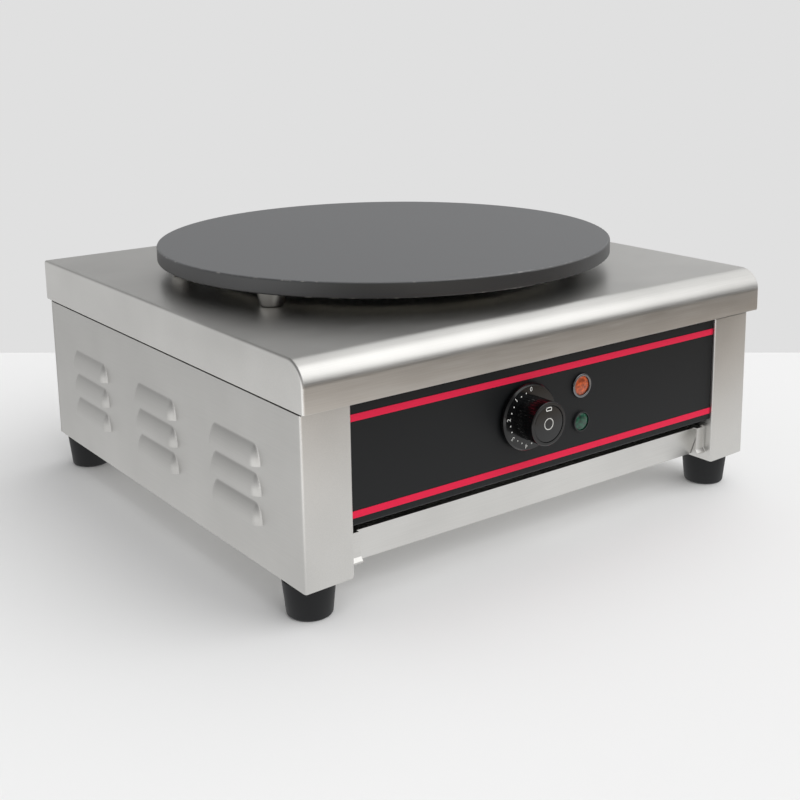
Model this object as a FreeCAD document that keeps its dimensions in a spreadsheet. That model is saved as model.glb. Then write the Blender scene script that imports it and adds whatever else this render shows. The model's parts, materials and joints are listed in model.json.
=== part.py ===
import FreeCAD, Part
import math
import os

import Sketcher

# Electric crepe maker: a 400 mm cast-iron griddle on four spacers over a folded
# stainless housing, with a thermostat knob and two pilot lamps on a black panel.
# Frame: +X to the user's right, +Y to the back, +Z up. The origin is on the floor,
# under the centre of the griddle, which is also the centre of the whole box.

DIMENSIONS = [
    ("plate_radius", 200, "griddle radius"),
    ("plate_thick", 13, "griddle thickness at the rim"),
    ("plate_web", 7, "griddle thickness over the element"),
    ("plate_edge", 1.5, "rounding of the griddle's edges"),
    ("cavity_radius", 160, "hollow under the griddle for the element"),
    ("plate_gap", 13.5, "height of the spacers"),
    ("spacer_radius", 11, "spacer radius"),
    ("spacer_x", 161, "spacer centre beside the griddle centre"),
    ("spacer_y", 75, "spacer centre before and behind the griddle centre"),
    ("bolt_radius", 3, "griddle bolt radius"),
    ("cover_width", 464, "top cover width"),
    ("cover_depth", 452, "top cover depth"),
    ("cover_height", 36, "top cover flange height"),
    ("cover_sheet", 1.5, "top cover sheet"),
    ("cover_roll", 14, "large bend along the cover's front"),
    ("cover_bend", 2, "small bends of the cover"),
    ("cover_front", 231.5, "cover's front face before the origin"),
    ("side_inset", 3, "side panel inside the cover's edge"),
    ("front_inset", 9, "columns behind the cover's front"),
    ("rear_inset", 3, "rear panel inside the cover's edge"),
    ("sheet", 1.2, "housing sheet"),
    ("bend", 2.5, "outer bend radius of the housing sheet"),
    ("foot_height", 28, "foot height"),
    ("body_height", 131, "side panel height in view"),
    ("body_tuck", 14.5, "side panel height inside the cover"),
    ("column_width", 41, "front column width"),
    ("column_return", 30, "fold behind the column's inner edge"),
    ("column_corner", 5, "rounding of the column's lower inner corner"),
    ("flange", 41, "lower flange of the side panel"),
    ("lip", 20, "upper and rear flanges of the side panel"),
    ("louvre_length", 70, "louvre length"),
    ("louvre_height", 18, "louvre height"),
    ("louvre_depth", 5, "louvre depth"),
    ("louvre_base", 57.5, "lower edge of the lowest louvre"),
    ("louvre_rise", 23, "louvre spacing upwards"),
    ("louvre_first", 131.5, "middle of the front louvres before the origin"),
    ("louvre_pitch", 131, "louvre spacing along the side"),
    ("apron_top_y", 209.5, "apron's top edge before the origin"),
    ("apron_foot_y", 199.5, "apron's lower edge before the origin"),
    ("apron_top", 57.5, "apron's top edge above the floor"),
    ("panel_recess", 3, "control panel behind the columns"),
    ("panel_low", 66, "control panel's lower edge"),
    ("panel_fit", 0.6, "gap at each end of the control panel"),
    ("stripe_thick", 0.3, "red tape thickness"),
    ("stripe_width", 5.2, "red tape width"),
    ("upper_stripe_low", 142.6, "upper tape's lower edge"),
    ("lower_stripe_low", 72, "lower tape's lower edge"),
    ("knob_x", -26, "knob axis beside the origin"),
    ("knob_z", 114, "knob axis above the floor"),
    ("skirt_radius", 27.5, "dial skirt radius"),
    ("skirt_face", 6, "dial skirt's face before the panel"),
    ("skirt_gap", 1.5, "dial skirt's rim before the panel"),
    ("grip_radius", 17, "knob grip radius"),
    ("grip_face", 26, "knob's face before the panel"),
    ("flute_count", 40, "flutes round the grip"),
    ("flute_radius", 0.8, "flute radius"),
    ("shaft_radius", 3, "thermostat shaft radius"),
    ("lamp_x", 32, "lamps beside the origin"),
    ("amber_z", 127, "amber lamp above the floor"),
    ("green_z", 97.4, "green lamp above the floor"),
    ("gland_x", 150, "cable gland beside the origin"),
    ("gland_z", 62, "cable gland above the floor"),
    ("gland_reach", 28, "cable gland behind the rear panel"),
    ("gland_bore", 5.5, "bore of the cable gland"),
    ("rail_width", 30, "cross rail width"),
    ("rail_height", 20, "cross rail height"),
    ("rail_sheet", 2, "cross rail sheet"),
    ("foot_top", 18.5, "foot radius at the top"),
    ("foot_base", 16, "foot radius at the floor"),
    ("foot_x", 210, "foot centre beside the origin"),
    ("foot_front", 196.5, "front foot centre before the origin"),
    ("foot_rear", 193.5, "rear foot centre behind the origin"),
    ("tube_radius", 3.2, "heating element tube radius"),
    ("ring_outer", 139, "outer turn of the heating element"),
    ("ring_inner", 97, "inner turn of the heating element"),
]

doc = FreeCAD.newDocument("crepe_maker")
table = doc.addObject("Spreadsheet::Sheet", "Dimensions")


class Size:
    """A length together with the sheet formula that it comes from."""

    def __init__(self, value, text):
        self.value = value
        self.text = text

    @staticmethod
    def of(other):
        if isinstance(other, Size):
            return other
        return Size(float(other), "({:.6g})".format(other))

    def join(self, other, sign, result):
        return Size(result, "(" + self.text + " " + sign + " " + other.text + ")")

    def __add__(self, other):
        other = Size.of(other)
        return self.join(other, "+", self.value + other.value)

    def __radd__(self, other):
        return Size.of(other) + self

    def __sub__(self, other):
        other = Size.of(other)
        return self.join(other, "-", self.value - other.value)

    def __rsub__(self, other):
        return Size.of(other) - self

    def __mul__(self, other):
        other = Size.of(other)
        return self.join(other, "*", self.value * other.value)

    def __rmul__(self, other):
        return Size.of(other) * self

    def __truediv__(self, other):
        other = Size.of(other)
        return self.join(other, "/", self.value / other.value)

    def __neg__(self):
        return Size(0.0, "0") - self


class Sizes:
    """The sheet's named sizes as attributes."""


D = Sizes()
for row, (alias, number, note) in enumerate(DIMENSIONS, start=1):
    table.set("A%d" % row, alias)
    table.set("B%d" % row, str(number))
    table.setAlias("B%d" % row, alias)
    table.set("C%d" % row, note)
    setattr(D, alias, Size(float(number), "Dimensions." + alias))
doc.recompute()

# Levels and faces worked out from the sheet.
body_low = D.foot_height
seam = D.foot_height + D.body_height
cover_top = seam + D.cover_height
under_cover = cover_top - D.cover_sheet
wall_top = seam + D.body_tuck
plate_low = cover_top + D.plate_gap
plate_top = plate_low + D.plate_thick
web_low = plate_top - D.plate_web
half_cover = D.cover_width / 2
side_face = half_cover - D.side_inset
cover_y = -D.cover_front
column_y = cover_y + D.front_inset
panel_y = column_y + D.panel_recess
rear_y = cover_y + D.cover_depth - D.rear_inset
column_inner = side_face - D.column_width
opening = column_inner - D.panel_fit
floor_low = body_low + D.sheet
floor_top = floor_low + D.sheet

PARTS = []


def bind(thing, prop, size):
    """Set a property, and tie it to the sheet when the size comes from there."""
    size = Size.of(size)
    if prop == "Occurrences":
        thing.Occurrences = int(size.value)
    elif "." not in prop:
        setattr(thing, prop, size.value)
    if "Dimensions" in size.text:
        thing.setExpression(prop, size.text)


def place(thing, x=0, y=0, z=0, turn=None):
    """Put an object at a point, with its place tied to the sheet."""
    spot = [Size.of(x), Size.of(y), Size.of(z)]
    rotation = turn or FreeCAD.Rotation()
    thing.Placement = FreeCAD.Placement(FreeCAD.Vector(*[c.value for c in spot]), rotation)
    for axis, size in zip("xyz", spot):
        if "Dimensions" in size.text:
            thing.setExpression("Placement.Base." + axis, size.text)


ALONG_X = FreeCAD.Rotation(FreeCAD.Vector(0, 1, 0), 90)
ALONG_Y = FreeCAD.Rotation(FreeCAD.Vector(1, 0, 0), -90)


def add(kind, name):
    return doc.addObject(kind, name)


def box(name, x, y, z, length, width, height):
    thing = add("Part::Box", name)
    bind(thing, "Length", length)
    bind(thing, "Width", width)
    bind(thing, "Height", height)
    place(thing, x, y, z)
    return thing


def cylinder(name, radius, height, x=0, y=0, z=0, turn=None):
    thing = add("Part::Cylinder", name)
    bind(thing, "Radius", radius)
    bind(thing, "Height", height)
    place(thing, x, y, z, turn)
    return thing


def cone(name, low, high, height, x=0, y=0, z=0, turn=None):
    thing = add("Part::Cone", name)
    bind(thing, "Radius1", low)
    bind(thing, "Radius2", high)
    bind(thing, "Height", height)
    place(thing, x, y, z, turn)
    return thing


def hexagon(name, across, height, x=0, y=0, z=0, turn=None):
    """A hexagonal prism; across is the distance over its flats."""
    thing = add("Part::Prism", name)
    thing.Polygon = 6
    bind(thing, "Circumradius", Size.of(across) / math.sqrt(3))
    bind(thing, "Height", height)
    place(thing, x, y, z, turn)
    return thing


def fuse(name, *things):
    thing = add("Part::MultiFuse", name)
    thing.Shapes = list(things)
    thing.Refine = True
    return thing


def cut(name, base, *tools):
    tool = tools[0] if len(tools) == 1 else fuse(name + "_tools", *tools)
    thing = add("Part::Cut", name)
    thing.Base = base
    thing.Tool = tool
    return thing


def group(name, things):
    thing = add("Part::Compound", name)
    thing.Links = list(things)
    return thing


def keep(thing, label):
    """Register an object as a sub-part under the name of its file."""
    thing.Label = label
    PARTS.append(thing)
    return thing


def new_body(name):
    return add("PartDesign::Body", name)


def sketch(body, role, offset=0):
    """A sketch on one of the body's own planes, moved along that plane's normal."""
    plane = [f for f in body.Origin.OriginFeatures if f.Role == role][0]
    drawing = body.newObject("Sketcher::SketchObject", body.Name + "_sketch")
    drawing.AttachmentSupport = [(plane, "")]
    drawing.MapMode = "FlatFace"
    offset = Size.of(offset)
    drawing.AttachmentOffset = FreeCAD.Placement(
        FreeCAD.Vector(0, 0, offset.value), FreeCAD.Rotation())
    if "Dimensions" in offset.text:
        drawing.setExpression("AttachmentOffset.Base.z", offset.text)
    return drawing


def fix(drawing, kind, where, size):
    """Add a driving distance to a sketch and tie it to the sheet."""
    size = Size.of(size)
    index = drawing.addConstraint(Sketcher.Constraint(kind, *where, size.value))
    if "Dimensions" in size.text:
        drawing.setExpression("Constraints[%d]" % index, size.text)


def polygon(drawing, points):
    """A closed outline of straight lines, each corner placed from the origin."""
    points = [(Size.of(u), Size.of(v)) for u, v in points]
    first = drawing.GeometryCount
    count = len(points)
    for i in range(count):
        a = points[i]
        b = points[(i + 1) % count]
        drawing.addGeometry(Part.LineSegment(
            FreeCAD.Vector(a[0].value, a[1].value, 0),
            FreeCAD.Vector(b[0].value, b[1].value, 0)), False)
    for i in range(count):
        drawing.addConstraint(Sketcher.Constraint(
            "Coincident", first + i, 2, first + (i + 1) % count, 1))
    for i in range(count):
        fix(drawing, "DistanceX", (-1, 1, first + i, 1), points[i][0])
        fix(drawing, "DistanceY", (-1, 1, first + i, 1), points[i][1])


def rectangle(drawing, left, right, low, high):
    polygon(drawing, [(left, low), (right, low), (right, high), (left, high)])


def circle(drawing, u, v, radius):
    u = Size.of(u)
    v = Size.of(v)
    radius = Size.of(radius)
    index = drawing.addGeometry(Part.Circle(
        FreeCAD.Vector(u.value, v.value, 0), FreeCAD.Vector(0, 0, 1), radius.value), False)
    fix(drawing, "DistanceX", (-1, 1, index, 3), u)
    fix(drawing, "DistanceY", (-1, 1, index, 3), v)
    fix(drawing, "Radius", (index,), radius)


def pad(body, drawing, length, back=False):
    feature = body.newObject("PartDesign::Pad", body.Name + "_pad")
    feature.Profile = drawing
    feature.Reversed = back
    bind(feature, "Length", length)
    body.Tip = feature
    return feature


def pocket(body, drawing, length, back=False):
    feature = body.newObject("PartDesign::Pocket", body.Name + "_pocket")
    feature.Profile = drawing
    feature.Reversed = back
    bind(feature, "Length", length)
    body.Tip = feature
    return feature


def revolve(body, drawing, axis, angle=360, groove=False, back=False):
    kind = "PartDesign::Groove" if groove else "PartDesign::Revolution"
    feature = body.newObject(kind, body.Name + "_turned")
    feature.Profile = drawing
    feature.ReferenceAxis = axis
    feature.Angle = angle
    feature.Reversed = back
    body.Tip = feature
    return feature


def edges_where(feature, test):
    """Names of a feature's edges that a test on the edge picks out."""
    doc.recompute()
    names = []
    for index, edge in enumerate(feature.Shape.Edges, start=1):
        if test(edge):
            names.append("Edge%d" % index)
    return names


def round_edges(body, feature, radius, test):
    names = edges_where(feature, test)
    if not names:
        raise RuntimeError("no edges to round on " + body.Name)
    fillet = body.newObject("PartDesign::Fillet", body.Name + "_fillet")
    fillet.Base = (feature, names)
    bind(fillet, "Radius", radius)
    body.Tip = fillet
    return fillet


def is_line(edge):
    return edge.Curve.TypeId == "Part::GeomLine"


def runs(edge, axis):
    """True for a straight edge along one of the axes x, y or z."""
    if not is_line(edge):
        return False
    start = edge.Vertexes[0].Point
    end = edge.Vertexes[-1].Point
    step = end - start
    others = [abs(getattr(step, a)) for a in "xyz" if a != axis]
    return max(others) < 1e-4


def near(value, size, slack=1e-3):
    return abs(value - Size.of(size).value) < slack


def griddle_plate():
    """Cast-iron disc with rounded rim, an element hollow and four tapped bosses."""
    body = new_body("Griddle")
    drawing = sketch(body, "XZ_Plane")
    polygon(drawing, [
        (0, web_low), (D.cavity_radius, web_low), (D.cavity_radius, plate_low),
        (D.plate_radius, plate_low), (D.plate_radius, plate_top), (0, plate_top)])
    axis = (drawing, ["V_Axis"])
    disc = revolve(body, drawing, axis)

    def rim(edge):
        box_ = edge.BoundBox
        return near(box_.XMax, D.plate_radius) and box_.ZLength < 1e-4
    disc = round_edges(body, disc, D.plate_edge, rim)
    holes = sketch(body, "XY_Plane", plate_low)
    for x in (-D.spacer_x, D.spacer_x):
        for y in (-D.spacer_y, D.spacer_y):
            circle(holes, x, y, D.bolt_radius + 0.05)
    pocket(body, holes, 8.5, back=True)
    studs = sketch(body, "XY_Plane", web_low)
    for x, y in clamp_points():
        circle(studs, x, y, D.bolt_radius + 0.05)
    pocket(body, studs, 4.2, back=True)
    keep(body, "griddle_plate")


def clamp_points():
    """Three bolts between the element's turns, evenly round the griddle."""
    places = []
    for turn in (90, 210, 330):
        angle = math.radians(turn)
        places.append((60 * math.cos(angle), 60 * math.sin(angle)))
    return places


def element_centre():
    return web_low - D.tube_radius - 0.1


def element_ends():
    """Where the two cold ends of the element turn down, on the inner and outer turn."""
    inner = math.radians(258)
    outer = math.radians(262)
    return [
        (D.ring_inner.value * math.cos(inner), D.ring_inner.value * math.sin(inner)),
        (D.ring_outer.value * math.cos(outer), D.ring_outer.value * math.sin(outer))]


def heating_element():
    """One tube: an inner and an outer turn joined by a hairpin, with two legs down."""
    z = element_centre().value
    inner = D.ring_inner.value
    outer = D.ring_outer.value
    middle = (inner + outer) / 2
    swing = (outer - inner) / 2

    def point(radius, degrees, height=z):
        angle = math.radians(degrees)
        return FreeCAD.Vector(radius * math.cos(angle), radius * math.sin(angle), height)

    def arc(a, b, c):
        return Part.Arc(a, b, c).toShape()

    hairpin_angle = 284
    centre = point(middle, hairpin_angle)
    inward = math.radians(hairpin_angle - 90)
    bulge = centre + FreeCAD.Vector(math.cos(inward), math.sin(inward), 0) * swing
    ends = element_ends()
    leg = 30
    bend_radius = 6.0
    edges = []
    start = FreeCAD.Vector(ends[0][0], ends[0][1], z)
    run_in = point(inner, 258 - 6)
    along = math.radians(258 + 90)
    ahead = FreeCAD.Vector(math.cos(along), math.sin(along), 0)
    bend_mid = start + ahead * (bend_radius * math.sin(math.radians(45))) + FreeCAD.Vector(
        0, 0, -bend_radius * (1 - math.cos(math.radians(45))))
    bend_end = start + ahead * bend_radius + FreeCAD.Vector(0, 0, -bend_radius)
    edges.append(Part.LineSegment(bend_end - FreeCAD.Vector(0, 0, leg), bend_end).toShape())
    edges.append(arc(bend_end, bend_mid, start))
    edges.append(arc(start, point(inner, 90), point(inner, hairpin_angle)))
    edges.append(arc(point(inner, hairpin_angle), bulge, point(outer, hairpin_angle)))
    stop = FreeCAD.Vector(ends[1][0], ends[1][1], z)
    edges.append(arc(point(outer, hairpin_angle), point(outer, 93), stop))
    along = math.radians(262 + 90)
    ahead = FreeCAD.Vector(math.cos(along), math.sin(along), 0)
    bend_mid = stop + ahead * (bend_radius * math.sin(math.radians(45))) + FreeCAD.Vector(
        0, 0, -bend_radius * (1 - math.cos(math.radians(45))))
    bend_end = stop + ahead * bend_radius + FreeCAD.Vector(0, 0, -bend_radius)
    edges.append(arc(stop, bend_mid, bend_end))
    edges.append(Part.LineSegment(bend_end, bend_end - FreeCAD.Vector(0, 0, leg)).toShape())
    path = Part.Wire(edges)
    begin = edges[0].Vertexes[0].Point
    profile = Part.Wire(Part.Circle(
        edges[0].valueAt(edges[0].FirstParameter), FreeCAD.Vector(0, 0, 1),
        D.tube_radius.value).toShape())
    tube = path.makePipeShell([profile], True, False)
    print("element tube volume", tube.Volume, "section times length",
          math.pi * D.tube_radius.value ** 2 * path.Length)
    thing = add("Part::Feature", "Element")
    thing.Shape = tube
    keep(thing, "heating_element")
    return begin


def leg_points():
    """Centres of the element's two legs where they pass down through the sheets."""
    places = []
    for (x, y), degrees in zip(element_ends(), (258, 262)):
        along = math.radians(degrees + 90)
        places.append((x + 6.0 * math.cos(along), y + 6.0 * math.sin(along)))
    return places


def disc_with_holes(name, label, radius, low, thick):
    """A flat disc with holes for the element's legs and the clamp bolts."""
    body = new_body(name)
    drawing = sketch(body, "XY_Plane", low)
    circle(drawing, 0, 0, radius)
    for x, y in leg_points():
        circle(drawing, x, y, D.tube_radius + 3)
    for x, y in clamp_points():
        circle(drawing, x, y, D.bolt_radius + 0.3)
    pad(body, drawing, thick)
    keep(body, label)


def under_plate():
    """Clamp disc, insulation and heat shield, stacked under the element."""
    clamp_low = element_centre() - D.tube_radius - 0.1 - 1.5
    disc_with_holes("Clamp", "element_clamp_disc", 155, clamp_low, 1.5)
    disc_with_holes("Felt", "insulation_disc", 152, clamp_low - 4.5, 4.5)
    disc_with_holes("Shield", "heat_shield", 155, clamp_low - 5.3, 0.8)
    bolts = []
    head_low = clamp_low - 5.3 - 3.2
    for number, (x, y) in enumerate(clamp_points()):
        head = hexagon("ClampHead%d" % number, 10, 3.2, x, y, head_low)
        shank = cylinder("ClampShank%d" % number, D.bolt_radius,
                         web_low + 4 - head_low, x, y, head_low)
        bolts.append(fuse("ClampBolt%d" % number, head, shank))
    keep(group("ClampBolts", bolts), "clamp_bolts")


def spacers():
    """Four turned steel spacers with a bolt up through each into the griddle."""
    names = ["front_left", "front_right", "rear_left", "rear_right"]
    places = [(-1, -1), (1, -1), (-1, 1), (1, 1)]
    bolts = []
    rail_web = under_cover - D.rail_sheet
    for name, (sx, sy) in zip(names, places):
        x = D.spacer_x * sx
        y = D.spacer_y * sy
        outer = cylinder("Spacer_" + name, D.spacer_radius, D.plate_gap, x, y, cover_top)
        bore = cylinder("SpacerBore_" + name, D.bolt_radius + 0.3, D.plate_gap, x, y, cover_top)
        keep(cut("SpacerCut_" + name, outer, bore), "spacer_" + name)
        head = hexagon("BoltHead_" + name, 10, 4, x, y, rail_web - 4)
        shank = cylinder("BoltShank_" + name, D.bolt_radius,
                         plate_low + 8 - rail_web + 4, x, y, rail_web - 4)
        bolts.append(fuse("Bolt_" + name, head, shank))
    keep(group("PlateBolts", bolts), "griddle_bolts")


def cross_rails():
    """Two channels under the cover that carry the spacers to the side panels."""
    for name, sy in (("front", -1), ("rear", 1)):
        body = new_body("Rail_" + name)
        middle = D.spacer_y * sy
        left = middle - D.rail_width / 2
        right = middle + D.rail_width / 2
        low = under_cover - D.rail_height
        inner = under_cover - D.rail_sheet
        drawing = sketch(body, "YZ_Plane", -(side_face - 3))
        polygon(drawing, [
            (left, low), (left + D.rail_sheet, low), (left + D.rail_sheet, inner),
            (right - D.rail_sheet, inner), (right - D.rail_sheet, low), (right, low),
            (right, under_cover), (left, under_cover)])
        pad(body, drawing, (side_face - 3) * 2)
        holes = sketch(body, "XY_Plane", under_cover)
        for x in (-D.spacer_x, D.spacer_x):
            circle(holes, x, middle, D.bolt_radius + 0.3)
        pocket(body, holes, D.rail_sheet + 1)
        keep(body, "cross_rail_" + name)


def cover_form(name, inset, low):
    """The cover's block with its front roll and three smaller bends, outside or inside."""
    body = new_body(name)
    top = cover_top - inset
    front = cover_y + inset
    rear = cover_y + D.cover_depth - inset
    drawing = sketch(body, "XY_Plane", low)
    rectangle(drawing, -(half_cover - inset), half_cover - inset, front, rear)
    block = pad(body, drawing, top - low)

    def front_top(edge):
        bounds = edge.BoundBox
        return runs(edge, "x") and near(bounds.YMin, front) and near(bounds.ZMin, top)

    def other_bends(edge):
        bounds = edge.BoundBox
        at_top = near(bounds.ZMin, top) and near(bounds.ZMax, top)
        return at_top and (runs(edge, "y") or runs(edge, "x"))
    rolled = round_edges(body, block, D.cover_roll - inset, front_top)
    round_edges(body, rolled, D.cover_bend - inset, other_bends)
    return body


def top_cover():
    """Stainless pan: a flat top, four flanges and a large roll along the front."""
    outside = cover_form("CoverOutside", Size.of(0), seam)
    inside = cover_form("CoverInside", D.cover_sheet, seam - 1)
    holes = []
    for x in (-D.spacer_x, D.spacer_x):
        for y in (-D.spacer_y, D.spacer_y):
            holes.append(cylinder("CoverHole", D.bolt_radius + 0.3, 6, x, y, cover_top - 4))
    for x, y in leg_points():
        holes.append(cylinder("LegHole", 6, 6, x, y, cover_top - 4))
    keep(cut("Cover", outside, inside, *holes), "top_cover")


def louvre(side, middle, low, name):
    """One pressed louvre: a curved hood with dome ends, open along its lower edge."""
    straight = D.louvre_length - D.louvre_height * 2
    depth = D.louvre_depth.value
    height = D.louvre_height.value
    big = (depth ** 2 + height ** 2) / (2 * depth)
    face = side_face * side
    centre_x = face - (big - depth) * side
    hood = []
    for radius, tag in ((big, "out"), (big - D.sheet.value, "in")):
        tube = cylinder(name + tag, radius, straight, centre_x, middle - straight / 2, low,
                        ALONG_Y)
        ends = []
        for end in (-1, 1):
            ball = add("Part::Sphere", name + tag + "ball")
            ball.Radius = radius
            place(ball, centre_x, middle + straight / 2 * end, low)
            ends.append(ball)
        hood.append(fuse(name + tag + "form", tube, *ends))
    return hood


def side_panel(name, side):
    """Folded side: wall, front column with return, lower, upper and rear flanges, vents."""
    body = new_body("Side_" + name)
    sheet = D.sheet
    out = side_face * side
    ins = (side_face - sheet) * side
    col = column_inner * side
    col_in = (column_inner + sheet) * side
    lip_in = (side_face - D.lip) * side
    wall_end = rear_y - sheet
    ret = column_y + D.column_return
    outline = sketch(body, "XY_Plane", body_low)
    polygon(outline, [
        (out, wall_end), (out, column_y), (col, column_y), (col, ret), (col_in, ret),
        (col_in, column_y + sheet), (ins, column_y + sheet), (ins, wall_end - sheet),
        (lip_in, wall_end - sheet), (lip_in, wall_end)])
    wall = pad(body, outline, wall_top - body_low)

    def outer_bend(edge):
        if not runs(edge, "z"):
            return False
        x = edge.BoundBox.XMin
        y = edge.BoundBox.YMin
        corner = near(x, out) and (near(y, column_y) or near(y, wall_end))
        return corner or (near(x, col) and near(y, column_y))

    def inner_bend(edge):
        if not runs(edge, "z"):
            return False
        x = edge.BoundBox.XMin
        y = edge.BoundBox.YMin
        corner = near(x, ins) and (near(y, column_y + sheet) or near(y, wall_end - sheet))
        return corner or (near(x, col_in) and near(y, column_y + sheet))
    wall = round_edges(body, wall, D.bend, outer_bend)
    wall = round_edges(body, wall, D.bend - D.sheet, inner_bend)
    lower = sketch(body, "XY_Plane", body_low)
    edge_out = (side_face - 0.4) * side
    polygon(lower, [
        (edge_out, column_y + 2), (col_in, column_y + 2), (col_in, ret), (col, ret),
        (col, wall_end - 2), (edge_out, wall_end - 2)])
    pad(body, lower, sheet)
    upper = sketch(body, "XY_Plane", wall_top - sheet)
    rectangle(upper, *sorted_pair(edge_out, lip_in), ret, wall_end - 2)
    pad(body, upper, sheet)
    corner = sketch(body, "XZ_Plane", -(column_y - 1))
    rounding = D.column_corner
    cut_corner(corner, column_inner, body_low, rounding, side)
    before = volume(body)
    pocket(body, corner, D.column_return + 4, back=False)
    doc.recompute()
    if volume(body) > before - 1:
        body.Tip.Reversed = True
    foot_holes = sketch(body, "XY_Plane", body_low)
    circle(foot_holes, D.foot_x * side, -D.foot_front, 2.8)
    circle(foot_holes, D.foot_x * side, D.foot_rear, 2.8)
    pocket(body, foot_holes, sheet + 1, back=True)
    outer_forms = []
    inner_forms = []
    tag = "Vent" + name.capitalize()
    half_length = D.louvre_length / 2
    for column in range(3):
        middle = D.louvre_pitch * column - D.louvre_first
        for row in range(3):
            low = D.louvre_base + D.louvre_rise * row
            mark = "%s%d%d" % (tag, column, row)
            out_form, in_form = louvre(side, middle, low, mark)
            if side < 0:
                start = -side_face - D.louvre_depth - 1
                inner_start = start
            else:
                start = side_face - sheet / 2
                inner_start = side_face - sheet - 0.5
            window = box(mark + "window", start, middle - half_length - 2, low,
                         D.louvre_depth + 1 + sheet / 2, D.louvre_length + 4,
                         D.louvre_height + 2)
            opening_box = box(mark + "open", inner_start, middle - half_length - 2, low,
                              D.louvre_depth + 1 + sheet + 0.5, D.louvre_length + 4,
                              D.louvre_height + 2)
            solid = add("Part::MultiCommon", mark + "hood")
            solid.Shapes = [out_form, window]
            hollow = add("Part::MultiCommon", mark + "hollow")
            hollow.Shapes = [in_form, opening_box]
            outer_forms.append(solid)
            inner_forms.append(hollow)
    raised = fuse("Raised_" + name, body, *outer_forms)
    keep(cut("Vented_" + name, raised, *inner_forms), name + "_side_panel")


def sorted_pair(a, b):
    return (a, b) if a.value < b.value else (b, a)


def volume(body):
    doc.recompute()
    return body.Shape.Volume


def cut_corner(drawing, inner, low, radius, side):
    """The waste outside a rounded lower corner: two straight sides and one arc."""
    x0 = inner.value * side
    z0 = low.value
    r = radius.value
    corner = FreeCAD.Vector(x0 - side * 1.0, z0 - 1.0, 0)
    a = FreeCAD.Vector(x0, z0 + r, 0)
    b = FreeCAD.Vector(x0 + side * r, z0, 0)
    centre = FreeCAD.Vector(x0 + side * r, z0 + r, 0)
    middle = centre + FreeCAD.Vector(-side, -1, 0) * (r / math.sqrt(2))
    a_out = FreeCAD.Vector(corner.x, a.y, 0)
    b_out = FreeCAD.Vector(b.x, corner.y, 0)
    drawing.addGeometry(Part.Arc(a, middle, b), False)
    drawing.addGeometry(Part.LineSegment(b, b_out), False)
    drawing.addGeometry(Part.LineSegment(b_out, corner), False)
    drawing.addGeometry(Part.LineSegment(corner, a_out), False)
    drawing.addGeometry(Part.LineSegment(a_out, a), False)


def rear_panel():
    """Flat rear sheet screwed over the side panels' flanges, with the gland hole."""
    body = new_body("Rear")
    drawing = sketch(body, "XZ_Plane", -rear_y)
    edge = side_face - 0.3
    rectangle(drawing, -edge, edge, body_low, wall_top)
    circle(drawing, D.gland_x, D.gland_z, 10.2)
    for x in (-edge + 11, edge - 11):
        for z in (body_low + 14, seam - 14):
            circle(drawing, x, z, 2.1)
    pad(body, drawing, D.sheet)
    keep(body, "rear_panel")


def base_pan():
    """Floor sheet whose front edge is folded up as the inclined apron."""
    body = new_body("Base")
    sheet = D.sheet
    profile = sketch(body, "YZ_Plane", -opening)
    foot = -D.apron_foot_y
    top = -D.apron_top_y
    back = foot + 14
    slope = (D.apron_top - floor_low).value / (D.apron_top_y - D.apron_foot_y).value
    shift = D.sheet * math.sqrt(1 + 1 / slope ** 2)
    polygon(profile, [
        (back, floor_low), (foot, floor_low), (top, D.apron_top),
        (top + 13, D.apron_top), (top + 13, D.apron_top - sheet),
        (top + shift + sheet / slope, D.apron_top - sheet),
        (foot + shift - sheet / slope, floor_top), (back, floor_top)])
    apron = pad(body, profile, opening * 2)
    floor = sketch(body, "XY_Plane", floor_low)
    wide = side_face - sheet - 0.4
    notch = column_y + D.column_return + 0.4
    polygon(floor, [
        (-opening, foot + 6), (opening, foot + 6), (opening, notch), (wide, notch),
        (wide, rear_y - sheet * 2 - 0.4), (-wide, rear_y - sheet * 2 - 0.4), (-wide, notch),
        (-opening, notch)])
    pad(body, floor, sheet)
    holes = sketch(body, "XY_Plane", floor_low)
    circle(holes, -D.foot_x, D.foot_rear, 2.8)
    circle(holes, D.foot_x, D.foot_rear, 2.8)
    pocket(body, holes, sheet + 1, back=True)
    keep(body, "base_pan")


def retaining_clips():
    """Tapered spring clips hooked over the apron's top edge, near both ends."""
    for name, side in (("left", -1), ("right", 1)):
        body = new_body("Clip_" + name)
        middle = (opening - 5.6) * side
        front = -D.apron_top_y - 5
        leg = sketch(body, "YZ_Plane", middle - 5.2)
        thick = 1.0
        top = D.apron_top + thick
        low = D.apron_top - 22
        polygon(leg, [
            (front + 15, D.apron_top), (front + 15, top), (front, top), (front, low + 4),
            (front - 2, low + 1.2), (front - 2.2, low), (front - 1.2, low),
            (front - 1, low + 0.8), (front + thick, low + 3.6), (front + thick, D.apron_top)])
        pad(body, leg, 10.4)
        taper = sketch(body, "XZ_Plane", -(front - 4))
        for edge in (-1, 1):
            polygon(taper, [
                (middle + 3.4 * edge, top + 1), (middle + 3.4 * edge, D.apron_top - 1),
                (middle + 5.2 * edge, low - 1), (middle + 8 * edge, low - 1),
                (middle + 8 * edge, top + 1)])
        before = volume(body)
        pocket(body, taper, 24)
        if volume(body) > before - 1:
            body.Tip.Reversed = True
        keep(body, name + "_apron_clip")


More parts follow.
